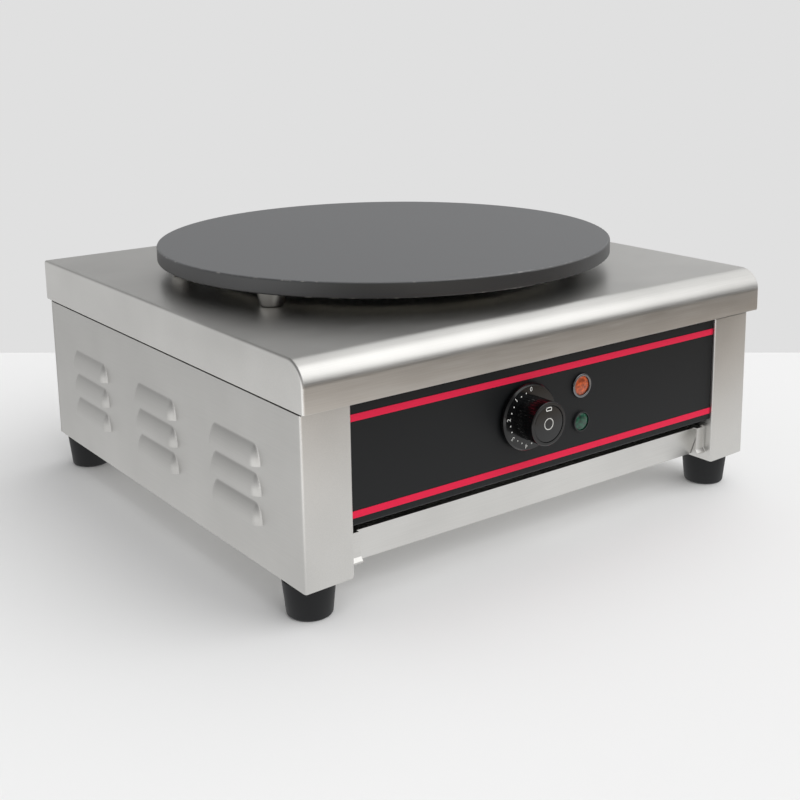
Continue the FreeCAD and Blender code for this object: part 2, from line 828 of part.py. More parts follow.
def control_panel():
    """Black panel with its upper and lower edges folded back."""
    body = new_body("Panel")
    sheet = D.sheet
    profile = sketch(body, "YZ_Plane", -opening)
    polygon(profile, [
        (panel_y, D.panel_low), (panel_y + 14, D.panel_low), (panel_y + 14, D.panel_low + sheet),
        (panel_y + sheet, D.panel_low + sheet), (panel_y + sheet, wall_top - sheet),
        (panel_y + 14, wall_top - sheet), (panel_y + 14, wall_top), (panel_y, wall_top)])
    folded = pad(body, profile, opening * 2)

    def outer_fold(edge):
        return runs(edge, "x") and near(edge.BoundBox.YMin, panel_y)
    round_edges(body, folded, 1.8, outer_fold)
    holes = sketch(body, "XZ_Plane", -panel_y)
    circle(holes, D.knob_x, D.knob_z, 5.3)
    circle(holes, D.lamp_x, D.amber_z, 6.2)
    circle(holes, D.lamp_x, D.green_z, 6.2)
    for step in (-14, 14):
        circle(holes, D.knob_x, D.knob_z + step, 2.2)
    before = volume(body)
    pocket(body, holes, sheet + 1)
    if volume(body) > before - 1:
        body.Tip.Reversed = True
    keep(body, "control_panel")
    for name, low in (("upper", D.upper_stripe_low), ("lower", D.lower_stripe_low)):
        tape = box("Stripe_" + name, -opening, panel_y - D.stripe_thick, low,
                   opening * 2, D.stripe_thick, D.stripe_width)
        keep(tape, name + "_stripe")


def knob():
    """Dial skirt, fluted grip, cap and the shaft that they turn on."""
    skirt = new_body("Skirt")
    drawing = sketch(skirt, "YZ_Plane", D.knob_x)
    rim = panel_y - D.skirt_gap
    face = panel_y - D.skirt_face
    axis_z = D.knob_z
    outer = axis_z + D.skirt_radius
    polygon(drawing, [
        (rim, outer), (face + 1.6, outer), (face, outer - 1.6), (face, axis_z + 8),
        (face + 1.6, axis_z + 8), (face + 1.6, outer - 3.6), (rim, outer - 1.8)])
    line = drawing.addGeometry(Part.LineSegment(
        FreeCAD.Vector(-300, axis_z.value, 0), FreeCAD.Vector(-200, axis_z.value, 0)), True)
    fix(drawing, "DistanceY", (-1, 1, line, 1), axis_z)
    fix(drawing, "DistanceY", (-1, 1, line, 2), axis_z)
    revolve(skirt, drawing, (drawing, ["Axis0"]))
    keep(skirt, "dial_skirt")

    grip = new_body("Grip")
    drawing = sketch(grip, "XZ_Plane", -face)
    circle(drawing, D.knob_x, axis_z, D.grip_radius)
    block = pad(grip, drawing, D.grip_face - D.skirt_face)

    def face_edge(edge):
        box_ = edge.BoundBox
        return box_.YLength < 1e-4 and near(box_.YMin, panel_y - D.grip_face)
    round_edges(grip, block, 0.8, face_edge)
    flute = sketch(grip, "XZ_Plane", -face)
    circle(flute, D.knob_x, axis_z + D.grip_radius + 0.25, D.flute_radius)
    groove = pocket(grip, flute, D.grip_face - D.skirt_face - 2, back=True)
    axis_mark = sketch(grip, "XZ_Plane", -face)
    doc.recompute()
    ring = grip.newObject("PartDesign::PolarPattern", "Grip_flutes")
    axis_mark.addGeometry(Part.Point(FreeCAD.Vector(D.knob_x.value, axis_z.value, 0)), True)
    fix(axis_mark, "DistanceX", (-1, 1, 0, 1), D.knob_x)
    fix(axis_mark, "DistanceY", (-1, 1, 0, 1), axis_z)
    axis_mark.AttachmentOffset = FreeCAD.Placement(
        FreeCAD.Vector(D.knob_x.value, axis_z.value, -face.value), FreeCAD.Rotation())
    ring.Originals = [groove]
    ring.Axis = (axis_mark, ["N_Axis"])
    ring.Angle = 360
    bind(ring, "Occurrences", D.flute_count)
    grip.Tip = ring
    hub = sketch(grip, "XZ_Plane", -face)
    circle(hub, D.knob_x, axis_z, 7.8)
    pad(grip, hub, 3.6, back=True)
    bore = sketch(grip, "XZ_Plane", -(face + 4))
    circle(bore, D.knob_x, axis_z, D.shaft_radius + 0.05)
    before = volume(grip)
    pocket(grip, bore, 18, back=True)
    if volume(grip) > before - 1:
        grip.Tip.Reversed = False
    seat = sketch(grip, "XZ_Plane", -(panel_y - D.grip_face))
    circle(seat, D.knob_x, axis_z, 14.5)
    before = volume(grip)
    pocket(grip, seat, 1.2)
    if volume(grip) > before - 1:
        grip.Tip.Reversed = True
    keep(grip, "knob_grip")

    cap_y = panel_y - D.grip_face
    cap = cylinder("Cap", 14.4, 1.0, D.knob_x, cap_y + 0.2, axis_z, ALONG_Y)
    keep(cap, "knob_cap")

    shaft_front = panel_y - 20
    round_bar = cylinder("ShaftBar", D.shaft_radius, 36, D.knob_x, shaft_front, axis_z, ALONG_Y)
    flat = box("ShaftFlat", D.knob_x - 4, shaft_front - 1, axis_z + 1.7, 8, 13, 4)
    keep(cut("Shaft", round_bar, flat), "thermostat_shaft")


def thermostat():
    """Thermostat behind the panel: a moulded case, a threaded neck and two screws."""
    y = panel_y + D.sheet
    case = box("CaseBox", D.knob_x - 17, y, D.knob_z - 21, 34, 26, 42)
    neck = cylinder("CaseNeck", 5, 3.0, D.knob_x, y - 3.0, D.knob_z, ALONG_Y)
    bore = cylinder("CaseBore", D.shaft_radius + 0.06, 21, D.knob_x, y - 3.5, D.knob_z, ALONG_Y)
    keep(cut("Case", fuse("CaseSolid", case, neck), bore), "thermostat_body")
    screws = []
    for number, step in enumerate((-14, 14)):
        head = cylinder("StatHead%d" % number, 3.6, 1.6, D.knob_x, panel_y - 1.6,
                        D.knob_z + step, ALONG_Y)
        shank = cylinder("StatShank%d" % number, 2.0, D.sheet + 1.6, D.knob_x, panel_y - 1.6,
                         D.knob_z + step, ALONG_Y)
        screws.append(fuse("StatScrew%d" % number, head, shank))
    keep(group("StatScrews", screws), "thermostat_screws")


def pilot_lamp(name, level, bezel_radius, lens_radius, reach):
    """A pilot lamp: bezel ring, domed lens, barrel through the panel and its nut."""
    x = D.lamp_x
    rim = bezel_radius - lens_radius
    ring = cylinder(name + "Ring", bezel_radius, 2.0, x, panel_y - 2.0, level, ALONG_Y)
    seat = cylinder(name + "Seat", lens_radius + 0.1, 2.0, x, panel_y - 2.0, level, ALONG_Y)
    keep(cut(name + "Bezel", ring, seat), name + "_lamp_bezel")
    print(name, "bezel rim", rim)
    body = new_body(name.capitalize() + "Lens")
    drawing = sketch(body, "YZ_Plane", x)
    back = panel_y - 0.4
    front = panel_y - reach
    polygon(drawing, [
        (back, level), (back, level + lens_radius), (front + 1.0, level + lens_radius),
        (front, level + lens_radius - 1.2), (front, level)])
    line = drawing.addGeometry(Part.LineSegment(
        FreeCAD.Vector(-300, level.value, 0), FreeCAD.Vector(-200, level.value, 0)), True)
    fix(drawing, "DistanceY", (-1, 1, line, 1), level)
    fix(drawing, "DistanceY", (-1, 1, line, 2), level)
    revolve(body, drawing, (drawing, ["Axis0"]))
    keep(body, name + "_lamp_lens")
    flange = cylinder(name + "Flange", lens_radius, 0.4, x, panel_y - 0.4, level, ALONG_Y)
    tube = cylinder(name + "Tube", 6.0, 26, x, panel_y - 0.4, level, ALONG_Y)
    keep(fuse(name + "Barrel", flange, tube), name + "_lamp_body")
    nut = hexagon(name + "Nut", 17, 3.5, x, panel_y + D.sheet, level, ALONG_Y)
    hole = cylinder(name + "NutHole", 6.05, 5, x, panel_y + D.sheet - 0.5, level, ALONG_Y)
    keep(cut(name + "NutCut", nut, hole), name + "_lamp_nut")


def cable_entry():
    """Cable gland in the rear panel: body, seal, dome nut and the locknut inside."""
    x = D.gland_x
    z = D.gland_z
    inner_y = rear_y - D.sheet
    hexagon_part = hexagon("GlandHex", 24, 6, x, rear_y, z, ALONG_Y)
    thread = cylinder("GlandThread", 10, 24, x, rear_y - 12, z, ALONG_Y)
    bore = cylinder("GlandBore", D.gland_bore, 30, x, rear_y - 13, z, ALONG_Y)
    keep(cut("GlandBody", fuse("GlandSolid", hexagon_part, thread), bore), "gland_body")
    start = rear_y + 6
    reach = D.gland_reach - 6
    shell = fuse("DomeSolid",
                 hexagon("DomeHex", 23, 9, x, start, z, ALONG_Y),
                 cone("DomeCone", 11.2, 8.6, reach, x, start, z, ALONG_Y))
    tap = cylinder("DomeTap", 10.05, 7, x, start - 0.5, z, ALONG_Y)
    seat = cylinder("DomeSeat", 7.6, reach - 2, x, start, z, ALONG_Y)
    mouth = cylinder("DomeMouth", D.gland_bore, reach + 2, x, start, z, ALONG_Y)
    keep(cut("Dome", shell, tap, seat, mouth), "gland_dome_nut")
    plug = cylinder("SealRing", 7.5, 12, x, start + 6.2, z, ALONG_Y)
    hole = cylinder("SealHole", D.gland_bore, 14, x, start + 5, z, ALONG_Y)
    keep(cut("Seal", plug, hole), "gland_seal")
    nut = hexagon("LockNut", 24, 5, x, inner_y - 5, z, ALONG_Y)
    nut_hole = cylinder("LockHole", 10.05, 7, x, inner_y - 6, z, ALONG_Y)
    keep(cut("LockRing", nut, nut_hole), "gland_locknut")


def terminal_block():
    """Three-pole block on the floor sheet, with its clamping screws."""
    x = D.gland_x - 30
    y = 120
    base = box("Block", x, y, floor_top, 42, 24, 8)
    poles = []
    screws = []
    for number in range(3):
        px = x + 2 + 13 * number
        poles.append(box("Pole%d" % number, px, y + 3, floor_top + 7, 12, 18, 11))
        for row in (0, 1):
            screws.append(cylinder("PoleScrew%d%d" % (number, row), 2.2, 1.2, px + 6,
                                   y + 7.5 + 9 * row, floor_top + 18))
    keep(fuse("BlockSolid", base, *poles), "terminal_block")
    keep(group("BlockScrews", screws), "terminal_screws")


def feet():
    """Four tapered rubber feet, each with a recessed screw, a washer and a nut."""
    names = ["front_left", "front_right", "rear_left", "rear_right"]
    screws = []
    washers = []
    nuts = []
    for name in names:
        x = D.foot_x * (-1 if "left" in name else 1)
        y = -D.foot_front if "front" in name else D.foot_rear
        seat = floor_low if "front" in name else floor_top
        body = new_body("Foot_" + name)
        drawing = sketch(body, "XZ_Plane")
        polygon(drawing, [
            (2.8, 12), (7.5, 12), (7.5, 0), (D.foot_base - 2, 0), (D.foot_base - 0.6, 0.6),
            (D.foot_base, 2), (D.foot_top, D.foot_height), (2.8, D.foot_height)])
        revolve(body, drawing, (drawing, ["V_Axis"]))
        place(body, x, y, 0)
        keep(body, "foot_" + name)
        washer = cylinder("Washer_" + name, 7, 1, x, y, 11)
        washer_hole = cylinder("WasherHole_" + name, 2.6, 3, x, y, 10)
        washers.append(cut("WasherCut_" + name, washer, washer_hole))
        head = cylinder("FootHead_" + name, 4.6, 3, x, y, 8)
        shank = cylinder("FootShank_" + name, 2.5, seat + 5 - 8, x, y, 8)
        screws.append(fuse("FootScrew_" + name, head, shank))
        nut = hexagon("FootNut_" + name, 8, 4, x, y, seat)
        nut_hole = cylinder("FootNutHole_" + name, 2.55, 6, x, y, seat - 1)
        nuts.append(cut("FootNutCut_" + name, nut, nut_hole))
    keep(group("FootScrews", screws), "foot_screws")
    keep(group("FootWashers", washers), "foot_washers")
    keep(group("FootNuts", nuts), "foot_nuts")


def rear_screws():
    """Pan-head screws that hold the rear panel to the side panels' flanges."""
    screws = []
    edge = side_face - 0.3
    number = 0
    for x in (-edge + 11, edge - 11):
        for z in (body_low + 14, seam - 14):
            head = cylinder("RearHead%d" % number, 3.8, 2.0, x, rear_y, z, ALONG_Y)
            shank = cylinder("RearShank%d" % number, 2.0, D.sheet, x, rear_y - D.sheet, z,
                             ALONG_Y)
            screws.append(fuse("RearScrew%d" % number, head, shank))
            number += 1
    keep(group("RearScrews", screws), "rear_panel_screws")


griddle_plate()
heating_element()
under_plate()
spacers()
cross_rails()
top_cover()
side_panel("left", -1)
side_panel("right", 1)
rear_panel()
base_pan()
retaining_clips()
control_panel()
knob()
thermostat()
pilot_lamp("amber", D.amber_z, 10.4, 7.8, 3.2)
pilot_lamp("green", D.green_z, 8.8, 7.5, 2.8)
cable_entry()
terminal_block()
feet()
rear_screws()
doc.recompute()

os.makedirs("parts", exist_ok=True)
for thing in doc.Objects:
    if "Invalid" in thing.State or "Error" in thing.State:
        raise RuntimeError("failed: " + thing.Name + " " + thing.Label + " " + str(thing.State))
for thing in PARTS:
    shape = thing.Shape
    if shape.isNull() or not shape.isValid() or not shape.Solids:
        raise RuntimeError("bad shape: " + thing.Label)
for thing in PARTS:
    thing.Shape.exportStep("parts/" + thing.Label + ".step")
print(len(PARTS), "sub-parts")
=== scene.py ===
import json
import math

import bmesh
import bpy
import numpy as np
from mathutils import Matrix, Vector


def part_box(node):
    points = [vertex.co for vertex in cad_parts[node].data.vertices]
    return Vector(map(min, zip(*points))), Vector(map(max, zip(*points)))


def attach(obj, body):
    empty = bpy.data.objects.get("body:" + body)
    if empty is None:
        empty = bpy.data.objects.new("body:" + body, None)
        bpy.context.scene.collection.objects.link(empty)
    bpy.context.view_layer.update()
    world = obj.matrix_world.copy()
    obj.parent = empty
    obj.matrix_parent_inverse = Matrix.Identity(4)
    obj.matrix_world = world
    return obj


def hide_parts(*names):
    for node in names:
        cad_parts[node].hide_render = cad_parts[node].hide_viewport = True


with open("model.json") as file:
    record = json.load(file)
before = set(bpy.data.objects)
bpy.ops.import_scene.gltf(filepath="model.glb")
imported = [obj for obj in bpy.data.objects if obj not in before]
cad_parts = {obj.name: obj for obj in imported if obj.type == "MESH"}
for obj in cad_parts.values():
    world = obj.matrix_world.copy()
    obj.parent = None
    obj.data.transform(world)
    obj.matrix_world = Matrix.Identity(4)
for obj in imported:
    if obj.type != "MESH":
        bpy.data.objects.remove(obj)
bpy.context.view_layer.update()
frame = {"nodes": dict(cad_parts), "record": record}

NODES = frame["nodes"]
MM = 0.001
CORNERS = ("front_left", "front_right", "rear_left", "rear_right")

# Camera of the photograph: place in metres, angles in radians. The picture is taken to
# be 800 by 800.
IMAGE = 800
FOCAL_PX = 1259.58
SENSOR = 36.0
CENTRE_V = 280
CAMERA_PLACE = Vector((-0.6439, -0.9052, 0.41856))
YAW = math.radians(36.15)
PITCH = math.radians(12.124)
ROLL = 0.015

# Finishes, as sRGB hex values.
STEEL = "D0CFCC"
STEEL_DARK_LINES = "CAC9C6"
STEEL_PALE_LINES = "D6D5D2"
# Painted shade that multiplies the brushed colour of the side walls.
WALL_PAINTED_SHADE = "EDEDED"
ZINC = "C2C2BE"
TURNED_STEEL = "B9B7B3"
# The griddle: painted light on its top, painted shade on its rim.
IRON_PAINTED_LIGHT_TOP = "5A5B5D"
IRON_PAINTED_SHADE_RIM = "141517"
IRON_WORN = "8C8A86"
PANEL_BLACK = "101214"
TAPE_RED = "E01A44"
KNOB_BLACK = "08090A"
PRINT_WHITE = "E6E6E2"
RING_METAL = "C9C8C4"
FLOOR = "EFEFEF"
WALL = "E0E0E0"
ROOM = "F4F4F4"

# Feet, spacers and lamps, in millimetres.
FOOT_SOLE, FOOT_TOP = 16.8, 19.7
SCREW_WELL, SCREW_HOLE, WELL_DEPTH = 7.5, 2.8, 12.0
SPACER_FOOT, SPACER_HEAD, SPACER_BORE = 9.6, 12.4, 3.3
BEZEL_DEPTH = 1.9

# Folded sheets, in millimetres. The lower corners are rounded over CORNER_ZONE of height,
# and at JOINT_LEVEL the sides step in below the cover.
COVER_SHEET, COVER_ROLL, COVER_BEND, COVER_CORNER = 1.5, 18.0, 2.0, 5.0
SIDE_SHEET, SIDE_FACE, SIDE_BEND = 1.2, 229.0, 1.8
COLUMN_WIDTH, COLUMN_RETURN, REAR_LIP = 41.0, 30.0, 20.0
LEFT_CORNER, RIGHT_CORNER, REAR_CORNER = 5.0, 4.5, 4.0
CORNER_ZONE = 12.0
JOINT_LEVEL, JOINT_DEPTH, JOINT_HEIGHT = 156.0, 1.3, 0.8

# Louvres, in millimetres. Their rows go on for LOUVRE_MARGIN past a hood's height.
LOUVRE_LENGTH, LOUVRE_HEIGHT, LOUVRE_DEPTH, LOUVRE_END = 73.0, 16.0, 5.0, 8.0
LOUVRE_MARGIN = 1.5
LOUVRE_LEVELS = [60.0 + 22.2 * k for k in range(3)]
LOUVRE_MIDDLES = [131.0 * k - 130.5 for k in range(3)]

# Knob, taken from the frame, and its print. Radii in millimetres, angles in degrees.
skirt_low, skirt_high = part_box("dial_skirt")
cap_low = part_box("knob_cap")[0]
KNOB_X = (skirt_low.x + skirt_high.x) / 2
KNOB_Z = (skirt_low.z + skirt_high.z) / 2
PRINT = 0.06 * MM
NUMBER_COUNT, NUMBER_STEP, NUMBER_HEIGHT, NUMBER_RADIUS = 7, 42.0, 5.0, 22.2

# The floor ends for the eye along the line 0.634 x + 0.773 y = BACK_LINE, in metres.
BACK_SLOPE = (0.6343, 0.7731)
BACK_LINE = 0.4047
FLOOR_REACH = 40.0
# What metal sees of the floor: tone against the distance 0.3 x - y ahead, in metres. The
# two end stops come first, because a new ramp has them already.
SEEN_FLOOR = ((0.52, "ECECEC"), (1.0, "2A2725"), (0.68, "D8C8B8"), (0.84, "8A7E70"))

# Level of the room's even light, and the suns: direction, strength and width in degrees.
ROOM_LEVEL = 0.6
SUNS = (("key", (0.577, -0.21, 0.79), 1.3, 95), ("front", (0.3, -0.68, 0.67), 0.9, 70))


def linear(hex_text):
    """One sRGB hex colour as linear red, green, blue and alpha."""
    out = []
    for i in (0, 2, 4):
        c = int(hex_text[i:i + 2], 16) / 255.0
        out.append(c / 12.92 if c <= 0.04045 else ((c + 0.055) / 1.055) ** 2.4)
    return (*out, 1.0)


def add_node(tree, kind, inputs=None, to=None, **settings):
    """Adds a node with its settings and inputs, and links its first live output to a socket.

    An input is a plain value, a socket, or another node, whose first live output is taken."""
    node = tree.nodes.new(kind)
    for key, value in settings.items():
        setattr(node, key, value)
    for key, value in (inputs or {}).items():
        if isinstance(value, bpy.types.Node):
            value = next(out for out in value.outputs if out.enabled)
        if isinstance(value, bpy.types.NodeSocket):
            tree.links.new(value, node.inputs[key])
        else:
            node.inputs[key].default_value = value
    if to is not None:
        tree.links.new(next(out for out in node.outputs if out.enabled), to)
    return node


def surface(name, colour, metallic, roughness, **more):
    """A material with one shader whose even values are set on its own sockets."""
    material = bpy.data.materials.new(name)
    material.use_nodes = True
    tree = material.node_tree
    shader = tree.nodes["Principled BSDF"]
    shader.inputs["Base Color"].default_value = linear(colour)
    shader.inputs["Metallic"].default_value = metallic
    shader.inputs["Roughness"].default_value = roughness
    for key, value in more.items():
        shader.inputs[key.replace("_", " ")].default_value = value
    return material, tree, shader


def plain(name, colour, metallic, roughness):
    """A material so even that the eye sees no grain on it."""
    return surface(name, colour, metallic, roughness)[0]


def grain(tree, size_mm, detail=2.0, stretch=(1, 1, 1), rough=0.5):
    """Noise on Object coordinates; size_mm is the grain size, stretch draws it out."""
    place = add_node(tree, "ShaderNodeTexCoord")
    scale = [1.0 / (size_mm * MM * s) for s in stretch]
    turn = add_node(tree, "ShaderNodeMapping",
                    {"Vector": place.outputs["Object"], "Scale": scale})
    return add_node(tree, "ShaderNodeTexNoise", {
        "Vector": turn, "Scale": 1.0, "Detail": detail, "Roughness": rough})


def place_axes(tree):
    """The three Object coordinates of a point, in metres."""
    place = add_node(tree, "ShaderNodeTexCoord")
    return add_node(tree, "ShaderNodeSeparateXYZ", {"Vector": place.outputs["Object"]}).outputs


def brushed_steel(name, along, roughness=0.36):
    """Stainless sheet brushed along one axis: fine lines that catch light unevenly."""
    material, tree, shader = surface(name, STEEL, 1.0, roughness)
    # Real brushing is about 0.1 mm wide; it is drawn 0.6 mm wide so that it shows.
    stretch = [1, 1, 1]
    stretch["XYZ".index(along)] = 70
    lines = grain(tree, 0.6, 3.0, stretch)
    clouds = grain(tree, 70)
    add_node(tree, "ShaderNodeMapRange", {
        "Value": lines, "From Min": 0.3, "From Max": 0.7,
        "To Min": roughness - 0.05, "To Max": roughness + 0.05}, to=shader.inputs["Roughness"])
    tone = add_node(tree, "ShaderNodeMath", {0: lines, 1: clouds}, operation="ADD")
    pale = add_node(tree, "ShaderNodeMapRange", {
        "Value": tone, "From Min": 0.7, "From Max": 1.3})
    add_node(tree, "ShaderNodeMix", {
        "Factor": pale, 6: linear(STEEL_DARK_LINES), 7: linear(STEEL_PALE_LINES)},
        to=shader.inputs["Base Color"], data_type="RGBA")
    add_node(tree, "ShaderNodeBump", {"Height": lines, "Distance": 0.008 * MM},
             to=shader.inputs["Normal"])
    return material


def side_steel():
    """Stainless of the sides; painted shade darkens the walls against the folded columns."""
    material = brushed_steel("brushed_stainless_along_y", "Y", 0.4)
    tree = material.node_tree
    base = tree.nodes["Principled BSDF"].inputs["Base Color"]
    brushed = base.links[0].from_socket
    # Painted shade: on the walls the base colour is multiplied darker than on the columns.
    out = add_node(tree, "ShaderNodeMath", {0: place_axes(tree)["X"]}, operation="ABSOLUTE")
    wall = add_node(tree, "ShaderNodeMapRange", {
        "Value": out, "From Min": (SIDE_FACE - 1.0) * MM, "From Max": (SIDE_FACE - 0.1) * MM})
    add_node(tree, "ShaderNodeMix", {"Factor": wall, 6: brushed, 7: linear(WALL_PAINTED_SHADE)},
             to=base, data_type="RGBA", blend_type="MULTIPLY")
    return material


def plated_steel():
    """Zinc-plated steel: bright and slightly cloudy."""
    material, tree, shader = surface("zinc_plated_steel", ZINC, 1.0, 0.38)
    add_node(tree, "ShaderNodeMapRange", {
        "Value": grain(tree, 9, 3.0), "From Min": 0.3, "From Max": 0.7,
        "To Min": 0.3, "To Max": 0.46}, to=shader.inputs["Roughness"])
    return material


def turned_steel():
    """Steel turned on a lathe: fine rings round the spacer."""
    material, tree, shader = surface("lathe_turned_steel", TURNED_STEEL, 1.0, 0.34)
    rings = grain(tree, 0.5, 1.0, (60, 60, 1))
    add_node(tree, "ShaderNodeBump", {"Height": rings, "Distance": 0.02 * MM},
             to=shader.inputs["Normal"])
    return material


def seasoned_iron():
    """Cast iron, turned flat and oil-seasoned: dark satin, painted light on top, bright where
    rubbed.
    """
    material, tree, shader = surface("seasoned_cast_iron", IRON_PAINTED_LIGHT_TOP, 0.0, 0.46, IOR=1.8)
    axes = place_axes(tree)
    flat = add_node(tree, "ShaderNodeCombineXYZ", {"X": axes["X"], "Y": axes["Y"]})
    radius = add_node(tree, "ShaderNodeVectorMath", {0: flat}, operation="LENGTH")
    # Lathe marks about 1.2 mm apart, and the iron's own grit of 1.4 mm.
    turn = add_node(tree, "ShaderNodeMath", {0: radius, 1: 1.2 * MM}, operation="DIVIDE")
    rings = add_node(tree, "ShaderNodeTexNoise", {"W": turn, "Scale": 1.0, "Detail": 2.0},
                     noise_dimensions="1D")
    relief = add_node(tree, "ShaderNodeMath", {0: rings, 1: grain(tree, 1.4, 4.0)},
                      operation="ADD")
    add_node(tree, "ShaderNodeBump", {"Height": relief, "Distance": 0.02 * MM},
             to=shader.inputs["Normal"])
    # Worn chips lie on both edges of the rim.
    low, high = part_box("griddle_plate")
    half = (high.z - low.z) / 2
    near_rim = add_node(tree, "ShaderNodeMapRange", {
        "Value": radius, "From Min": high.x - 1.4 * MM, "From Max": high.x - 0.4 * MM})
    above = add_node(tree, "ShaderNodeMath", {0: axes["Z"], 1: (low.z + high.z) / 2},
                     operation="SUBTRACT")
    off_middle = add_node(tree, "ShaderNodeMath", {0: above}, operation="ABSOLUTE")
    near_edge = add_node(tree, "ShaderNodeMapRange", {
        "Value": off_middle, "From Min": half - 1.2 * MM, "From Max": half - 0.5 * MM})
    chips = add_node(tree, "ShaderNodeMapRange", {
        "Value": grain(tree, 7, 4.0, rough=0.65), "From Min": 0.56, "From Max": 0.66})
    edge = add_node(tree, "ShaderNodeMath", {0: near_rim, 1: near_edge}, operation="MULTIPLY")
    worn = add_node(tree, "ShaderNodeMath", {0: edge, 1: chips}, operation="MULTIPLY")
    # Painted light: the top gets a lighter grey, the rim a painted darker shade.
    on_top = add_node(tree, "ShaderNodeMapRange", {
        "Value": axes["Z"], "From Min": high.z - 1.2 * MM, "From Max": high.z - 0.2 * MM})
    painted_top_and_rim = add_node(tree, "ShaderNodeMix", {
        "Factor": on_top, 6: linear(IRON_PAINTED_SHADE_RIM), 7: linear(IRON_PAINTED_LIGHT_TOP)}, data_type="RGBA")
    add_node(tree, "ShaderNodeMix", {"Factor": worn, 6: painted_top_and_rim, 7: linear(IRON_WORN)},
             to=shader.inputs["Base Color"], data_type="RGBA")
    return material


def moulded(name, colour, roughness, grit_mm=0.8, depth_mm=0.02, specular=0.5, ior=1.5,
            stretch=(1, 1, 1), detail=2.0):
    """Moulded, coated or rolled plastic with the fine relief of its mould or backing."""
    material, tree, shader = surface(name, colour, 0.0, roughness, IOR=ior)
    shader.inputs["Specular IOR Level"].default_value = specular
    add_node(tree, "ShaderNodeBump", {
        "Height": grain(tree, grit_mm, detail, stretch), "Distance": depth_mm * MM},
        to=shader.inputs["Normal"])
    return material


def lens_plastic(name, colour, dark):
    """Tinted polycarbonate over a dark lamp: uneven deep colour under a satin skin."""
    material, tree, shader = surface(name, colour, 0.0, 0.28, IOR=1.58)
    ribs = grain(tree, 2.6)
    depth = add_node(tree, "ShaderNodeMapRange", {
        "Value": ribs, "From Min": 0.35, "From Max": 0.65})
    add_node(tree, "ShaderNodeMix", {"Factor": depth, 6: linear(dark), 7: linear(colour)},
             to=shader.inputs["Base Color"], data_type="RGBA")
    add_node(tree, "ShaderNodeBump", {"Height": ribs, "Distance": 0.12 * MM},
             to=shader.inputs["Normal"])
    return material


def make_materials():
    """One material for each of the record's slots, and the sides' own stainless."""
    return {
        "cast_iron_griddle": seasoned_iron(),
        "stainless": brushed_steel("brushed_stainless_along_x", "X"),
        "side_stainless": side_steel(),
        "zinc_steel": plated_steel(),
        "turned_steel": turned_steel(),
        # Heat has turned the drawn sheath a dull brown grey.
        "element_sheath": plain("annealed_element_sheath", "5C574F", 1.0, 0.5),
        # Baked powder: satin, with a very fine orange-peel texture.
        "panel_black": moulded("black_powder_coat", PANEL_BLACK, 0.5, 1.1, specular=0.3),
        # Rolled vinyl: even colour and low gloss, with slight waves along its length.
        "red_tape": moulded("red_vinyl_tape", TAPE_RED, 0.5, grit_mm=6, specular=0.25, ior=1.45,
                            stretch=(8, 1, 1), detail=1.0),
        # Phenolic from a polished mould: glossy and nearly black.
        "knob_black": moulded("moulded_black_phenolic", KNOB_BLACK, 0.2, 0.6, 0.004),
        # The knob's face is smoother still and mirrors a little more.
        "knob_cap_grey": moulded("polished_black_knob_cap", "0C0D0E", 0.16, 0.5, 0.003),
        "lens_amber": lens_plastic("amber_polycarbonate", "C65520", "7C3214"),
        "lens_green": lens_plastic("green_polycarbonate", "075039", "03281C"),
        # Plated and polished, nearly a mirror; its grey stands for the dark room it reflects.
        "bezel_chrome": plain("chromed_lamp_bezel", "77787B", 1.0, 0.12),
        # Nylon is duller than phenolic and shows the grit of its mould.
        "black_moulding": moulded("moulded_black_nylon", "1B1C1E", 0.45),
        "white_moulding": moulded("moulded_white_nylon", "D9D6CC", 0.5),
        # Cut on a lathe and left bare: warm and half bright.
        "brass": plain("turned_brass", "C9A45A", 1.0, 0.34),
        # Rubber is dull and has a coarser skin.
        "rubber_black": moulded("moulded_black_rubber", "131416", 0.6, 1.2, 0.03, 0.35),
        # Felted fibre is rough all over and shows hardly any highlight.
        "mineral_fibre": moulded("felted_mineral_fibre", "D8D0BC", 0.95, 2.0, 0.3),
    }


def paint_nodes(materials):
    """Gives every CAD node the material of its slot."""
    for entry in frame["record"]["subparts"]:
        node = NODES[entry["node"]]
        node.data.materials.clear()
        node.data.materials.append(materials[entry["material_slot"]])


def mesh_piece(name, points, faces, material, body, closed=True, crease=30):
    """A mesh object at the origin from arrays of points in metres and faces.

    Points that coincide are joined, edges sharper than the crease stay sharp, and a
    closed mesh has its faces turned outwards."""
    mesh = bpy.data.meshes.new(name)
    mesh.from_pydata(points.tolist(), [], faces)
    made = bmesh.new()
    made.from_mesh(mesh)
    bmesh.ops.remove_doubles(made, verts=made.verts, dist=0.004 * MM)
    bmesh.ops.dissolve_degenerate(made, edges=made.edges, dist=0.004 * MM)
    if closed:
        bmesh.ops.recalc_face_normals(made, faces=made.faces)
    made.to_mesh(mesh)
    made.free()
    mesh.polygons.foreach_set("use_smooth", [True] * len(mesh.polygons))
    mesh.set_sharp_from_angle(angle=math.radians(crease))
    mesh.materials.append(material)
    piece = bpy.data.objects.new(name, mesh)
    bpy.context.scene.collection.objects.link(piece)
    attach(piece, body)
    return piece


def grid_numbers(rows, columns, width):
    """Numbers of the grid's points in the given rows and columns, and of those a row on."""
    j, i = np.meshgrid(rows, columns, indexing="ij")
    return j * width + i, (j + 1) * width + i


